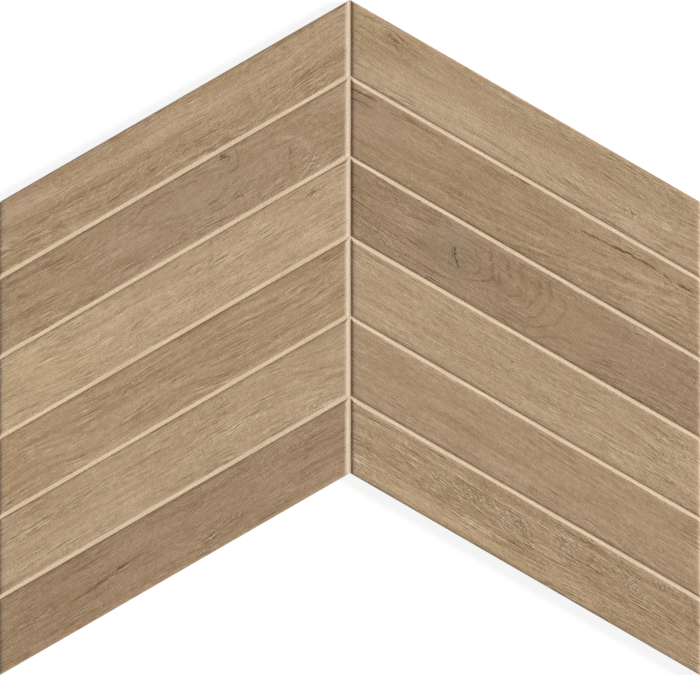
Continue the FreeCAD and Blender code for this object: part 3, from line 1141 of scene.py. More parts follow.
    right = [
        Strip(
            Side.RIGHT,
            0,
            (171, 145, 114),
            (
                Bulge(30.5, 6.5, 12.0, 5.0, 0.8),
                Spot(30.0, 6.4, 1.3, 0.8, -28.0),
                Spot(33.4, 7.2, 2.2, 0.5, -12.0),
                Band(26.5, 5.5, 7.0, 20.0, 170.0),
                Band(8.0, 6.0, -4.0),
                Band(18.0, 2.5, -3.0, 170.0, 300.0),
                Brushed(197.0, 25.4, 8.0, 3.0, 1.8),
                Brushed(35.0, 9.0, 14.0, 4.0, 0.8),
                Brushed(210.0, 10.0, 24.0, 6.0, 0.8),
                Calm(45.0, 21.0, 26.0, 9.0, 0.7),
                Calm(100.0, 18.0, 44.0, 9.0, 0.75),
                Calm(150.0, 18.0, 22.0, 7.0, 0.5),
                Calm(72.0, 6.0, 26.0, 4.5, 0.6),
                Stroke(((26.0, 5.6), (31.0, 7.2), (38.0, 7.6)), -15.0, 0.7),
                Stroke(((25.0, 8.6), (33.0, 9.6), (44.0, 12.6)), -12.0, 0.7),
                Lined(20.0, 50.0, 2.6, 150.0, 300.0, 2.3),
                Shade(34.0, 8.0, 10.0, 4.0, -7.0),
                Shade(84.0, 6.5, 44.0, 5.0, -8.0),
                Shade(24.0, 20.0, 20.0, 6.0, -12.0),
                Shade(97.0, 19.0, 16.0, 4.0, 6.0),
                Shade(84.0, 32.5, 58.0, 5.0, 10.0),
                Shade(172.0, 15.0, 26.0, 6.0, -7.0),
                Shade(201.0, 27.5, 24.0, 6.5, 11.0),
            ),
            fine=2.1,
            pores=0.7,
            fibre=0.85,
        ),
        Strip(
            Side.RIGHT,
            1,
            (162, 135, 104),
            (
                Drop(100.0, 232.0, 0.5, -24.0),
                Drop(20.0, 110.0, 0.0, -3.0),
                Stroke(((2.0, 4.0), (10.0, 3.4), (19.5, 2.8)), -70.0, 0.55, 0.0, 0.1),
                Stroke(((4.0, 8.4), (11.0, 7.9), (19.5, 7.4)), -66.0, 0.55, 0.0, 0.1),
                Stroke(((28.0, 4.7), (44.0, 3.6), (66.0, 1.7)), -24.0, 0.45, 0.2),
                Stroke(
                    ((156.0, 8.5), (171.5, 7.6), (183.0, 6.8), (191.0, 6.3), (200.0, 6.3), (206.4, 6.6)),
                    -56.0,
                    0.45,
                    0.0,
                    0.12,
                ),
                Stroke(((176.0, 7.3), (190.0, 6.4), (200.0, 6.3)), -20.0, 0.55),
                Stroke(((208.6, 7.1), (216.4, 8.1)), -50.0, 0.5, 0.0, 0.1),
                Stroke(((219.5, 7.2), (231.0, 7.5)), -66.0, 0.5, 0.0, 0.1),
                Stroke(((105.0, 0.9), (123.0, 0.6)), -48.0, 0.4, 0.5),
                Brushed(216.0, 9.6, 9.0, 2.6, 1.1),
                Brushed(160.0, 10.0, 9.0, 2.5, 0.6),
                Band(30.0, 8.0, -5.0, -50.0, 90.0),
                Stroke(((112.0, 31.5), (150.0, 27.5), (190.0, 20.0), (228.0, 11.5)), -13.0, 1.2, 0.5),
                Stroke(((128.0, 34.5), (165.0, 30.0), (200.0, 24.0), (230.0, 17.5)), -13.0, 1.1, 0.5),
                Stroke(((150.0, 37.0), (185.0, 32.0), (215.0, 27.0), (231.0, 23.5)), -13.0, 1.1, 0.5),
                Stroke(((118.0, 27.0), (160.0, 22.0), (200.0, 14.5), (228.0, 8.5)), 12.0, 1.2, 0.5),
                Stroke(((138.0, 32.5), (175.0, 27.0), (205.0, 21.0), (230.0, 14.5)), 13.0, 1.2, 0.5),
                Stroke(((166.0, 34.0), (195.0, 29.0), (231.0, 20.5)), 12.0, 1.1, 0.5),
                Calm(48.0, 20.0, 44.0, 14.0, 0.75),
                Calm(125.0, 4.0, 26.0, 5.0, 0.7),
                Calm(120.0, 16.0, 26.0, 6.0, 0.4),
                Stroke(((70.0, 25.0), (96.0, 24.0), (124.0, 21.5), (150.0, 18.5)), -12.0, 0.9, 0.5),
                Stroke(((84.0, 31.0), (110.0, 28.5), (136.0, 25.0)), -10.0, 0.9, 0.5),
                Shade(12.0, 10.5, 11.0, 6.0, -14.0),
                Shade(219.0, 10.0, 12.0, 6.0, 6.0),
                Shade(28.0, 25.5, 12.0, 4.0, -5.0),
                Shade(210.0, 31.5, 10.0, 4.0, 5.0),
                Shade(46.0, 8.0, 12.0, 5.0, 6.0),
                Shade(20.0, 29.0, 16.0, 6.0, -4.0),
                Shade(105.0, 14.0, 16.0, 6.0, -4.0),
                Shade(157.0, 31.5, 12.0, 4.0, -6.0),
                Shade(208.0, 31.0, 14.0, 4.0, 7.0),
                Shade(195.0, 16.0, 20.0, 6.0, 4.0),
                Stain(20.0, 14.0, 22.0, 12.0, (164, 136, 114), 0.5),
            ),
            broad=2.6,
            fine=2.1,
            pores=0.3,
            fibre=0.65,
        ),
        Strip(
            Side.RIGHT,
            2,
            (154, 127, 98),
            (
                Bulge(79.5, 17.5, 22.0, 10.0, 0.95),
                Drop(158.0, 225.0, -3.0, -10.0),
                *(Stroke(points, tone, 1.2, 0.1, upright=True) for points, tone in rings),
                Stroke(((140.0, 36.4), (145.0, 34.0), (152.8, 29.4), (163.0, 26.0)), -14.0, 0.8),
                Stroke(((146.0, 37.0), (156.0, 33.5), (168.0, 30.5)), -11.0, 0.8, 0.3),
                Calm(100.0, 17.0, 46.0, 13.0, 0.9),
                Calm(150.0, 14.0, 28.0, 12.0, 0.75),
                Calm(200.0, 14.0, 40.0, 14.0, 0.75),
                Stain(66.0, 20.0, 7.0, 6.0, (138, 120, 94), 0.75),
                Stain(73.5, 8.0, 5.0, 3.4, green_grey, 0.6),
                Stain(81.5, 19.0, 6.0, 7.4, (130, 118, 95), 0.7),
                Stain(150.0, 17.0, 28.0, 12.0, (160, 136, 100), 0.45),
                Stain(42.0, 3.2, 8.0, 2.2, green_grey, 0.6),
                Stroke(
                    ((77.2, 13.2), (78.5, 16.5), (79.6, 18.5), (81.3, 20.2), (82.5, 21.4), (84.0, 23.4)),
                    -115.0,
                    0.62,
                    0.0,
                    0.2,
                    True,
                ),
                Stroke(((75.6, 13.4), (76.8, 16.4), (78.6, 19.6), (80.4, 22.0)), -22.0, 0.5, 0.1, 0.05, True),
                Stroke(((80.2, 14.6), (81.6, 17.4), (83.6, 20.4)), 20.0, 0.5, 0.1, upright=True),
                Spot(81.4, 20.4, 1.4, 1.2, -70.0, 0.1),
                Spot(78.9, 16.9, 0.8, 1.3, -60.0, 0.1),
                Stroke(((105.6, 13.0), (107.6, 16.4), (108.8, 19.4)), -18.0, 0.9, 0.1, upright=True),
                Shade(66.0, 18.0, 8.0, 5.0, -5.0),
                Shade(86.5, 22.0, 4.0, 4.0, -6.0),
                Shade(108.6, 19.2, 3.2, 3.2, -12.0),
                Shade(148.0, 7.0, 14.0, 3.5, 6.0),
                Shade(16.0, 15.0, 15.0, 8.0, -13.0),
                Shade(62.0, 21.0, 14.0, 6.0, -5.0),
                Shade(30.0, 32.0, 14.0, 3.5, 6.0),
                Shade(108.0, 18.0, 24.0, 8.0, -5.0),
                Shade(205.0, 9.0, 18.0, 6.0, 4.0),
                Spot(46.0, 0.9, 0.8, 0.9, -55.0),
                Brushed(36.0, 29.0, 18.0, 6.0, 1.1),
                Brushed(34.0, 8.0, 14.0, 4.0, 0.7),
                Brushed(146.0, 7.0, 6.0, 2.4, 0.5),
                Brushed(88.0, 20.0, 14.0, 7.0, 0.7),
            ),
            broad=2.0,
            fine=2.0,
            pores=0.7,
        ),
        Strip(
            Side.RIGHT,
            3,
            (172, 146, 115),
            (
                Spot(115.2, 15.0, 0.9, 0.7, -30.0),
                Spot(39.0, 15.0, 0.5, 0.5, -22.0),
                Brushed(222.0, 10.0, 14.0, 8.0, 0.9),
                Brushed(228.0, 30.0, 10.0, 4.0, 0.8),
                Brushed(185.0, 3.6, 4.0, 3.0, 0.4),
                Brushed(110.0, 20.0, 90.0, 9.0, 0.35),
                Calm(60.0, 18.0, 44.0, 8.0, 0.6),
                Calm(110.0, 30.0, 26.0, 5.0, 0.5),
                Calm(150.0, 12.0, 26.0, 6.0, 0.4),
                Lined(-10.0, 50.0, 3.2, 190.0, 300.0, 2.1),
                Stroke(((168.0, 28.6), (184.0, 27.8)), 22.0, 0.45, 0.2),
                Stroke(((222.0, 28.8), (232.0, 29.2)), -34.0, 0.5),
                Stain(30.0, 30.0, 16.0, 5.0, (182, 152, 126), 0.35),
                Shade(58.0, 16.0, 14.0, 8.0, 5.0),
                Shade(150.0, 15.0, 22.0, 6.0, -5.0),
                Shade(26.0, 6.0, 12.0, 4.0, 5.0),
                Shade(162.0, 31.0, 14.0, 4.0, -5.0),
                Shade(188.0, 27.0, 16.0, 5.0, -4.0),
                Shade(68.0, 25.5, 12.0, 4.0, 4.0),
            ),
            broad=2.0,
            fine=1.9,
            pores=0.5,
            fibre=0.72,
        ),
        Strip(
            Side.RIGHT,
            4,
            (164, 137, 107),
            (
                Drop(100.0, 220.0, 1.0, 5.0),
                Calm(58.0, 14.0, 38.0, 13.0, 0.7),
                Calm(132.0, 19.0, 40.0, 8.0, 0.5),
                Calm(200.0, 14.0, 30.0, 9.0, 0.4),
                Stroke(((145.0, 28.0), (162.0, 28.6)), -20.0, 0.6),
                Stroke(((128.0, 27.0), (160.0, 29.6), (206.0, 33.0)), -7.0, 0.5, 0.8),
                Stroke(((136.0, 30.0), (170.0, 32.0), (214.0, 35.0)), -6.0, 0.45, 0.8),
                Brushed(195.0, 26.0, 26.0, 4.0, 0.6),
                Brushed(60.0, 33.0, 20.0, 3.0, 0.6),
                Shade(146.0, 9.0, 14.0, 5.0, -4.0),
                Shade(45.0, 31.5, 14.0, 4.0, 5.0),
            ),
            broad=1.9,
            fine=1.6,
            pores=0.25,
            fleck=0.15,
            fibre=0.65,
        ),
        Strip(
            Side.RIGHT,
            5,
            (164, 137, 106),
            (
                Band(30.5, 4.0, 8.0, -50.0, 190.0),
                Stain(90.0, 34.0, 120.0, 3.6, (186, 160, 122), 0.35),
                Lined(14.0, 31.0, 4.0, 10.0, 300.0, 2.3),
                Brushed(64.0, 12.5, 6.0, 3.4, 1.2),
                Brushed(92.0, 13.5, 12.0, 3.4, 1.4),
                Brushed(115.0, 14.0, 14.0, 4.5, 1.5),
                Brushed(150.0, 10.0, 11.0, 5.0, 1.7),
                Brushed(134.0, 22.5, 5.0, 1.6, 1.2),
                Brushed(187.0, 10.0, 14.0, 4.0, 1.3),
                Brushed(211.0, 5.6, 9.0, 3.6, 1.6),
                Shade(205.0, 15.0, 16.0, 6.0, 6.0),
                Shade(36.0, 25.5, 34.0, 4.0, 5.0),
                Shade(122.0, 6.0, 14.0, 4.0, -5.0),
                Shade(10.0, 6.5, 12.0, 4.0, 5.0),
                Brushed(226.0, 14.0, 8.0, 6.0, 0.4),
                Shade(28.0, 6.0, 24.0, 4.5, 10.0),
                Shade(85.0, 8.0, 20.0, 6.0, -6.0),
                Shade(14.0, 27.0, 16.0, 6.0, 6.0),
                Shade(66.0, 31.5, 14.0, 4.0, 6.0),
                Shade(134.0, 31.0, 22.0, 5.0, -17.0),
                Shade(199.0, 31.0, 10.0, 4.0, 5.0),
            ),
            broad=2.8,
            fine=3.1,
            pores=1.0,
            fleck=0.6,
        ),
    ]
    return left + right


@dataclass
class TileBody:
    """The whole tile as one closed mesh: moulded face, sides, broken back arris and channelled back."""

    layout: Layout
    strips: list[Strip]
    name: str = "oak_chevron_tile"
    column_pitch: float = 2.05
    row_pitch: float = 0.8
    joint_offsets: tuple[float, ...] = (0.0, 0.3, 0.48, 0.6, 0.68, 0.78, 0.94, 1.14, 1.4, 1.69, 2.05, 2.5, 3.1)
    centre_offsets: tuple[float, ...] = (0.0, 0.45, 0.8, 0.96, 1.06, 1.18, 1.34, 1.56, 1.82, 2.09, 2.5, 3.0, 3.7)
    edge_offsets: tuple[float, ...] = (0.0, 0.02, 0.08, 0.2, 0.36, 0.56, 0.78, 1.0, 1.4, 1.9, 2.5)
    cushion_depth: float = 0.3
    cushion_reach: float = 2.0
    corner_blend: float = 0.07
    channel_draft: float = 0.3
    channel_map_draft: float = 2.0
    vertices: list[tuple[float, float, float]] = field(default_factory=list)
    faces: list[tuple[int, ...]] = field(default_factory=list)
    materials: list[int] = field(default_factory=list)
    spots: list[tuple[tuple[float, float], ...]] = field(default_factory=list)

    def columns(self) -> np.ndarray:
        """Gives the x of each column of the face's grid, close together at the centre joint and the sides."""
        near = list(self.centre_offsets)
        far = [self.layout.half_width - e for e in reversed(self.edge_offsets)]
        count = round((far[0] - near[-1]) / self.column_pitch)
        half = near + list(np.linspace(near[-1], far[0], count + 1)[1:-1]) + far
        return np.array([-x for x in reversed(half[1:])] + half)

    def rows(self) -> np.ndarray:
        """Gives each row's distance from the upper edge, close together at the joints and the edges."""
        across = self.layout.across
        fixed = [list(self.edge_offsets)]
        for line in self.layout.joint_lines():
            fixed.append([line - o for o in reversed(self.joint_offsets)] + [line + o for o in self.joint_offsets[1:]])
        fixed.append([across - e for e in reversed(self.edge_offsets)])
        rows = list(fixed[0])
        for group in fixed[1:]:
            count = round((group[0] - rows[-1]) / self.row_pitch)
            rows += list(np.linspace(rows[-1], group[0], count + 1)[1:-1]) + group
        return np.array(rows)

    def height_to(self, x: np.ndarray | float, v: np.ndarray | float) -> np.ndarray:
        """Gives y for a place on the sheared grid.

        Args:
            x: Distance from the centre joint, signed.
            v: Distance from the upper edge, square to the strips.

        Returns:
            The y of the place.
        """
        return self.layout.apex - np.abs(x) * math.tan(self.layout.slope) - v / math.cos(self.layout.slope)

    def joint_profile(self, distance: np.ndarray, floor: float) -> np.ndarray:
        """Gives the face's height near a joint: a floor, a drafted wall and a rounded edge.

        Args:
            distance: Distance from the joint's centre line.
            floor: Half the width of the joint's floor.

        Returns:
            The height over the back.
        """
        size = self.layout
        reach = size.joint_reach(floor)
        soft = self.corner_blend
        wall = np.minimum(size.floor_level + (distance - floor) / math.tan(size.joint_draft), size.thickness)
        pooled = soft * np.logaddexp(size.floor_level / soft, wall / soft)
        rounded = self.edge_profile(distance - reach + size.edge_radius)
        on_round = distance > reach - size.edge_radius * math.cos(size.joint_draft)
        return np.where(on_round, rounded, np.minimum(pooled, rounded))

    def edge_profile(self, distance: np.ndarray) -> np.ndarray:
        """Gives the face's height near an outer edge, by the distance in from it."""
        radius = self.layout.edge_radius
        short = np.clip(radius - distance, 0.0, radius)
        return self.layout.thickness - radius + np.sqrt(radius**2 - short**2)

    def cushion(self, distance: np.ndarray) -> np.ndarray:
        """Gives how far a strip's face sinks towards its edge, as a share of the whole fall.

        Args:
            distance: Distance from the middle of the edge's rounding, into the strip.

        Returns:
            The share, 1 at the rounding and 0 on the flat.
        """
        return np.clip(1.0 - distance / self.cushion_reach, 0.0, 1.0) ** 2

    def face_level(self, x: np.ndarray, v: np.ndarray) -> np.ndarray:
        """Gives the face's height at each place of the sheared grid."""
        size = self.layout
        half_round = size.edge_radius / 2
        joints = [(np.abs(x), size.centre_joint_width / 2)]
        joints += [(np.abs(v - line), size.joint_width / 2) for line in size.joint_lines()]
        edges = [size.half_width - np.abs(x), v, size.across - v]
        level = np.minimum.reduce([self.joint_profile(d, floor) for d, floor in joints] + [self.edge_profile(d) for d in edges])
        inward = [d - size.joint_reach(floor) + half_round for d, floor in joints] + [d - half_round for d in edges]
        sunk = np.maximum.reduce([self.cushion(d) for d in inward])
        share = (level - size.floor_level) / size.joint_depth
        return level - self.cushion_depth * sunk * np.clip(share, 0.0, 1.0)

    def add_vertex(self, x: float, v: float, z: float) -> int:
        """Adds a vertex by its place on the sheared grid and returns its number."""
        self.vertices.append((float(x), float(self.height_to(x, v)), float(z)))
        return len(self.vertices) - 1

    def add_face(self, corners: Sequence[int], material: int, spots: Sequence[tuple[float, float]]) -> None:
        """Adds a face with its finish and its corners' places on the colour map."""
        self.faces.append(tuple(corners))
        self.materials.append(material)
        self.spots.append(tuple(spots))

    def strip_at(self, x: float, v: float) -> int:
        """Gives the number of the strip's finish at a place."""
        row = sum(v > line for line in self.layout.joint_lines())
        return row + (self.layout.strips if x > 0 else 0)

    def face_spot(self, x: float, v: float) -> tuple[float, float]:
        """Places the face on the upper part of the colour map, its strips laid straight."""
        size = self.layout
        return 0.002 + 0.996 * (x / size.width + 0.5), 0.998 - 0.738 * v / size.across

    def back_spot(self, x: float, v: float) -> tuple[float, float]:
        """Places the back in the map's lower left corner."""
        size = self.layout
        return 0.004 + 0.37 * (x / size.width + 0.5), 0.25 - 0.244 * v / size.across

    def side_spot(self, side: int, share: float, level: float) -> tuple[float, float]:
        """Places one side, with its arris, in the map's lower right corner.

        Args:
            side: The side's number, from 0 to 3.
            share: How far along the side, from 0 to 1.
            level: Height over the arris's lower edge, in millimetres.

        Returns:
            The place on the map.
        """
        return 0.385 + 0.61 * share, 0.008 + 0.062 * side + 0.05 * level / (self.layout.thickness + 1.0)

    def mould_face(self) -> tuple[np.ndarray, np.ndarray, np.ndarray]:
        """Builds the face's grid.

        Returns:
            The columns, the rows and each vertex's number by row and column.
        """
        columns, rows = self.columns(), self.rows()
        x, v = np.meshgrid(columns, rows)
        level = self.face_level(x, v)
        first = len(self.vertices)
        y = self.height_to(x, v)
        self.vertices += list(zip(x.ravel().tolist(), y.ravel().tolist(), level.ravel().tolist()))
        number = first + np.arange(x.size).reshape(x.shape)
        spots = [[self.face_spot(cx, rv) for cx in columns] for rv in rows]
        for r in range(len(rows) - 1):
            middle = (rows[r] + rows[r + 1]) / 2
            for c in range(len(columns) - 1):
                corners = ((r, c), (r + 1, c), (r + 1, c + 1), (r, c + 1))
                finish = self.strip_at((columns[c] + columns[c + 1]) / 2, middle)
                self.add_face([int(number[k]) for k in corners], finish, [spots[i][j] for i, j in corners])
        return columns, rows, number

    def press_back(self, finish: int) -> tuple[list[float], list[float], np.ndarray]:
        """Builds the back with its sunk channels.

        Args:
            finish: Number of the back's material.

        Returns:
            The back's columns, its rows and each vertex's number by row and column.
        """
        size = self.layout
        inner, outer = size.centre_rib / 2, size.half_width - size.back_border
        rim = size.half_width - size.back_arris
        columns = [-rim, -outer, -inner, 0.0, inner, outer, rim]
        rows = [size.back_arris]
        for k in range(size.channel_count):
            top = size.back_border + k * (size.channel_width + size.channel_rib)
            rows += [top, top + size.channel_width]
        rows.append(size.across - size.back_arris)
        number = np.array([[self.add_vertex(x, v, 0.0) for x in columns] for v in rows])
        for r in range(len(rows) - 1):
            for c in range(len(columns) - 1):
                corners = ((r, c), (r, c + 1), (r + 1, c + 1), (r + 1, c))
                ring = [int(number[k]) for k in corners]
                spots = [self.back_spot(columns[j], rows[i]) for i, j in corners]
                if r % 2 == 1 and c in (1, 4):
                    self.sink_channel(ring, columns[c : c + 2], rows[r : r + 2], spots, finish)
                else:
                    self.add_face(ring, finish, spots)
        return columns, rows, number

    def sink_channel(
        self,
        ring: list[int],
        across: Sequence[float],
        down: Sequence[float],
        spots: list[tuple[float, float]],
        finish: int,
    ) -> None:
        """Builds one channel in the back: four drafted walls and a floor.

        Args:
            ring: The mouth's corners.
            across: The channel's two ends in x.
            down: Its two edges, from the tile's upper edge.
            spots: The mouth's places on the colour map.
            finish: Number of the back's material.
        """
        floor, floor_spots = [], []
        for x_end, v_end in ((0, 0), (1, 0), (1, 1), (0, 1)):
            x_in, v_in = (1 - 2 * x_end), (1 - 2 * v_end)
            x, v = across[x_end], down[v_end]
            draft, drawn = self.channel_draft, self.channel_map_draft
            floor.append(self.add_vertex(x + x_in * draft, v + v_in * draft, self.layout.channel_depth))
            floor_spots.append(self.back_spot(x + x_in * drawn, v + v_in * drawn))
        for i in range(4):
            j = (i + 1) % 4
            self.add_face(
                (ring[i], ring[j], floor[j], floor[i]), finish, (spots[i], spots[j], floor_spots[j], floor_spots[i])
            )
        self.add_face(floor, finish, floor_spots)

    def raise_side(
        self,
        side: int,
        face_run: list[tuple[float, int]],
        back_run: list[tuple[float, int]],
        arris_run: list[int],
        finish: int,
    ) -> None:
        """Builds one side from the face's fine edge down to the arris, and the arris to the back.

        Args:
            side: The side's number on the colour map.
            face_run: Place along the side and number of each of the face's edge vertices.
            back_run: The same for the back's edge vertices.
            arris_run: Numbers of the arris's upper vertices, one over each of the back's.
            finish: Number of the sides' material.
        """
        start, end = face_run[0][0], face_run[-1][0]

        def spot(at: float, number: int, low: bool = False) -> tuple[float, float]:
            """Places a vertex of this side on the colour map."""
            level = 0.0 if low else self.vertices[number][2] + 0.5
            return self.side_spot(side, (at - start) / (end - start), level)

        upper = [(at, n) for at, n in face_run]
        lower = [(at, n) for (at, _), n in zip(back_run, arris_run)]
        lower[0] = (start, lower[0][1])
        lower[-1] = (end, lower[-1][1])
        i = j = 0
        while i < len(upper) - 1 or j < len(lower) - 1:
            go_upper = j == len(lower) - 1 or (i < len(upper) - 1 and upper[i + 1][0] <= lower[j + 1][0] + 1e-6)
            third = upper[i + 1] if go_upper else lower[j + 1]
            corners = (upper[i], lower[j], third)
            self.add_face([n for _, n in corners], finish, [spot(at, n) for at, n in corners])
            i, j = (i + 1, j) if go_upper else (i, j + 1)
        for k in range(len(lower) - 1):
            (at, high), (next_at, next_high) = lower[k], lower[k + 1]
            corners = (high, back_run[k][1], back_run[k + 1][1], next_high)
            spots = (spot(at, high), spot(at, high, True), spot(next_at, next_high, True), spot(next_at, next_high))
            self.add_face(corners, finish, spots)

    def build(self, sides_finish: int, back_finish: int) -> bpy.types.Object:
        """Builds the tile's mesh.

        Args:
            sides_finish: Number of the sides' material.
            back_finish: Number of the back's material.

        Returns:
            The tile, without its materials or its fine relief.
        """
        size = self.layout
        columns, rows, face = self.mould_face()
        back_columns, back_rows, back = self.press_back(back_finish)
        full_columns = [-size.half_width] + back_columns[1:-1] + [size.half_width]
        full_rows = [0.0] + back_rows[1:-1] + [size.across]
        level = size.back_arris
        top = [self.add_vertex(x, 0.0, level) for x in full_columns]
        bottom = [self.add_vertex(x, size.across, level) for x in full_columns]
        left = [top[0]] + [self.add_vertex(-size.half_width, v, level) for v in full_rows[1:-1]] + [bottom[0]]
        right = [top[-1]] + [self.add_vertex(size.half_width, v, level) for v in full_rows[1:-1]] + [bottom[-1]]
        run = lambda places, numbers: [(float(p), int(n)) for p, n in zip(places, numbers)]
        self.raise_side(0, run(rows, face[:, 0]), run(back_rows, back[:, 0]), left, sides_finish)
        self.raise_side(1, run(rows, face[:, -1]), run(back_rows, back[:, -1]), right, sides_finish)
        self.raise_side(2, run(columns, face[0]), run(back_columns, back[0]), top, sides_finish)
        self.raise_side(3, run(columns, face[-1]), run(back_columns, back[-1]), bottom, sides_finish)
        mesh = bpy.data.meshes.new(self.name)
        mesh.from_pydata([tuple(c * METRES for c in p) for p in self.vertices], [], self.faces)
        mesh.polygons.foreach_set("material_index", self.materials)
        places = mesh.uv_layers.new(name="OFBake")
        places.data.foreach_set("uv", np.array([s for spots in self.spots for s in spots], dtype=np.float32).ravel())
        self.turn_outwards(mesh)
        smooth = [index < len(self.strips) for index in self.read_finishes(mesh)]
        mesh.polygons.foreach_set("use_smooth", smooth)
        mesh.update()
        tile = bpy.data.objects.new(self.name, mesh)
        bpy.context.scene.collection.objects.link(tile)
        return tile

    @staticmethod
    def read_finishes(mesh: bpy.types.Mesh) -> np.ndarray:
        """Reads each face's material number."""
        finishes = np.zeros(len(mesh.polygons), dtype=np.int32)
        mesh.polygons.foreach_get("material_index", finishes)
        return finishes

    @staticmethod
    def turn_outwards(mesh: bpy.types.Mesh) -> None:
        """Turns every face of the closed mesh outwards."""
        work = bmesh.new()
        work.from_mesh(mesh)
        bmesh.ops.recalc_face_normals(work, faces=work.faces)
        work.to_mesh(mesh)
        work.free()


@dataclass
class Relief:
    """The brushed relief of the oak, raised on each strip's mesh from the same drawing as its print."""

    layout: Layout
    strips: list[Strip]
    full_from: float = 4.0
    none_to: float = 1.8

    def raise_on(self, tile: bpy.types.Object) -> None:
        """Moves the face's vertices up and down by each strip's relief and keeps the result.

        Args:
            tile: The tile's mesh object.
        """
        trees = [self.tree(strip) for strip in self.strips]
        for tree in trees:
            tile.modifiers.new(tree.name, "NODES").node_group = tree
        shaped = tile.evaluated_get(bpy.context.evaluated_depsgraph_get())
        mesh = bpy.data.meshes.new_from_object(shaped)
        tile.modifiers.clear()
        flat = tile.data
        tile.data = mesh
        bpy.data.meshes.remove(flat)
        mesh.name = tile.name
        for tree in trees:
            bpy.data.node_groups.remove(tree)

    def tree(self, strip: Strip) -> bpy.types.NodeTree:
        """Makes the nodes that raise one strip's relief.

        Args:
            strip: The strip.

        Returns:
            The node group.
        """
        tree = bpy.data.node_groups.new(f"relief_{strip.name}", "GeometryNodeTree")
        tree.interface.new_socket("Geometry", in_out="INPUT", socket_type="NodeSocketGeometry")
        tree.interface.new_socket("Geometry", in_out="OUTPUT", socket_type="NodeSocketGeometry")
        graph = Graph(tree, PlaceNode.RELIEF)
        x, _, z = graph.place()
        ground = strip.lay_out(graph, self.layout)
        inside = self.inside(strip, x, ground)
        offset = graph.add("ShaderNodeCombineXYZ", None, {2: strip.relief(ground) * inside * METRES})
        on_face = graph.math("GREATER_THAN", inside * z.ease(1.0, 2.0), 0.0)
        body = graph.add("NodeGroupInput").outputs[0]
        sockets = {"Geometry": body, "Selection": on_face, "Offset": offset.outputs[0]}
        moved = graph.add("GeometryNodeSetPosition", None, sockets)
        graph.add("NodeGroupOutput", None, {0: moved.outputs[0]})
        return tree

    def inside(self, strip: Strip, x: Value, ground: Ground) -> Value:
        """Gives 1 inside a strip, falling to 0 before the rounding of its edges."""
        size = self.layout
        upper, lower = size.strip_edges(strip.row)
        start = size.print_top(strip.row)
        distance = abs(x).low(size.half_width - abs(x))
        distance = distance.low(ground.across + (start - upper)).low((lower - start) - ground.across)
        side = x * -1.0 if strip.side is Side.LEFT else x
        return distance.ease(self.none_to, self.full_from) * side.ramp(0.0, 0.1)


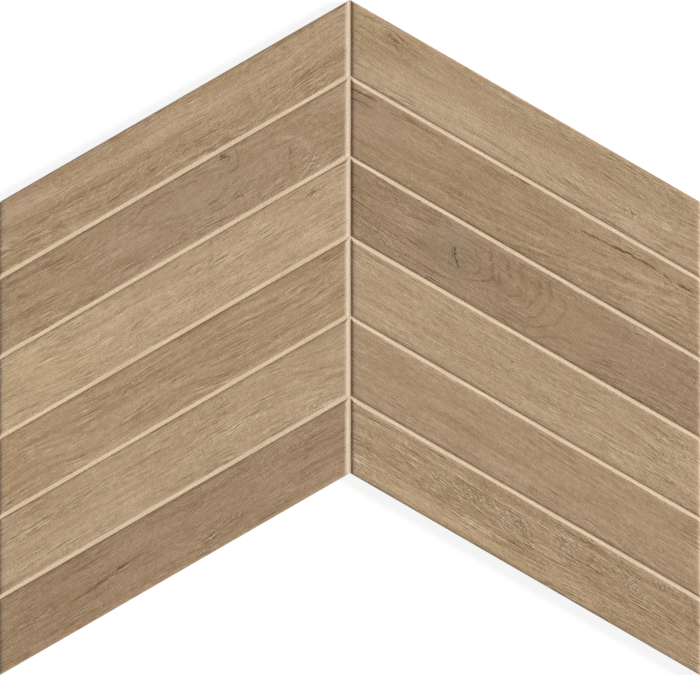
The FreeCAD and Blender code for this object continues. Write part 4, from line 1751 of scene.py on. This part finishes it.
@dataclass
class Studio:
    """The plain pale floor, the soft light from the right and the camera over the tile."""

    layout: Layout
    floor_size: float = 6.0
    sky: float = 0.26
    sun_elevation: float = math.radians(35.0)
    sun_azimuth: float = math.radians(6.0)
    sun_angle: float = math.radians(14.0)
    camera_distance: float = 4.0
    shown_width: float = 0.9988
    sensor: float = 36.0

    def lay_floor(self) -> bpy.types.Object:
        """Lays the floor, white to the camera but for the tile's soft shadow."""
        mesh = bpy.data.meshes.new("studio_floor")
        half = self.floor_size / 2
        corners = [(-half, -half, 0.0), (half, -half, 0.0), (half, half, 0.0), (-half, half, 0.0)]
        mesh.from_pydata(corners, [], [(0, 1, 2, 3)])
        material = bpy.data.materials.new("white_floor")
        material.use_nodes = True
        graph = Graph(material.node_tree, PlaceNode.FINISH)
        path = graph.add("ShaderNodeLightPath")
        seen = Value(graph, path.outputs["Is Camera Ray"])
        seen = seen.high(Value(graph, path.outputs["Is Glossy Ray"]))
        seen = seen.high(Value(graph, path.outputs["Is Transmission Ray"]))
        paper = graph.add("ShaderNodeBsdfDiffuse", None, {"Color": (0.86, 0.86, 0.86, 1.0)})
        glow = graph.add("ShaderNodeEmission", None, {"Color": (1.0, 1.0, 1.0, 1.0), "Strength": 1.04})
        share = seen * 0.84
        white = graph.add("ShaderNodeMixShader", None, {0: share, 1: paper.outputs[0], 2: glow.outputs[0]})
        graph.add("ShaderNodeOutputMaterial", None, {"Surface": white.outputs[0]})
        mesh.materials.append(material)
        floor = bpy.data.objects.new("studio_floor", mesh)
        bpy.context.scene.collection.objects.link(floor)
        return floor

    def light(self) -> None:
        """Sets the even white surroundings and the soft sun from the right."""
        world = bpy.data.worlds.new("studio_surroundings")
        world.use_nodes = True
        graph = Graph(world.node_tree, PlaceNode.FINISH)
        path = graph.add("ShaderNodeLightPath")
        seen = Value(graph, path.outputs["Is Camera Ray"])
        seen = seen.high(Value(graph, path.outputs["Is Glossy Ray"]))
        seen = seen.high(Value(graph, path.outputs["Is Transmission Ray"]))
        strength = self.sky + seen * (1.0 - self.sky)
        sky = graph.add("ShaderNodeBackground", None, {"Color": (1.0, 1.0, 1.0, 1.0), "Strength": strength})
        graph.add("ShaderNodeOutputWorld", None, {"Surface": sky.outputs[0]})
        bpy.context.scene.world = world
        lamp = bpy.data.lights.new("key_from_the_right", "SUN")
        lamp.energy = (1.0 - self.sky) * math.pi / math.sin(self.sun_elevation)
        lamp.angle = self.sun_angle
        sun = bpy.data.objects.new("key_from_the_right", lamp)
        sun.rotation_euler = (0.0, math.pi / 2 - self.sun_elevation, self.sun_azimuth)
        bpy.context.scene.collection.objects.link(sun)

    def set_camera(self) -> None:
        """Sets the camera square over the face, the frame a hair inside the tile's sides."""
        lens = bpy.data.cameras.new("face_on")
        lens.sensor_width = self.sensor
        lens.lens = self.sensor * self.camera_distance / (self.layout.width * METRES * self.shown_width)
        camera = bpy.data.objects.new("face_on", lens)
        camera.location = (0.0, 0.0, self.camera_distance + self.layout.thickness * METRES)
        bpy.context.scene.collection.objects.link(camera)
        bpy.context.scene.camera = camera
        bpy.context.scene.view_settings.view_transform = "Standard"


def make_tile(layout: Layout) -> bpy.types.Object:
    """Builds and dresses the tile and ties it to the frame.

    Args:
        layout: The tile's sizes.

    Returns:
        The finished tile.
    """
    strips = oak_strips()
    body = TileBody(layout, strips)
    tile = body.build(len(strips), len(strips) + 1)
    glaze = OakGlaze(layout)
    for strip in strips:
        tile.data.materials.append(glaze.material(strip))
    tile.data.materials.append(Biscuit(layout).material())
    tile.data.materials.append(Engobe(layout).material())
    Relief(layout, strips).raise_on(tile)
    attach(tile, "root")
    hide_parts("chevron_tile")
    log.info("%s: %d vertices, %d faces", tile.name, len(tile.data.vertices), len(tile.data.polygons))
    return tile


def main() -> None:
    """Builds the tile and its studio."""
    logging.basicConfig(level=logging.INFO, format="%(name)s %(message)s")
    layout = Layout()
    make_tile(layout)
    studio = Studio(layout)
    floor = studio.lay_floor()
    studio.light()
    studio.set_camera()
    log.info("%s laid, light and camera set", floor.name)


if __name__ == "__main__":
    main()
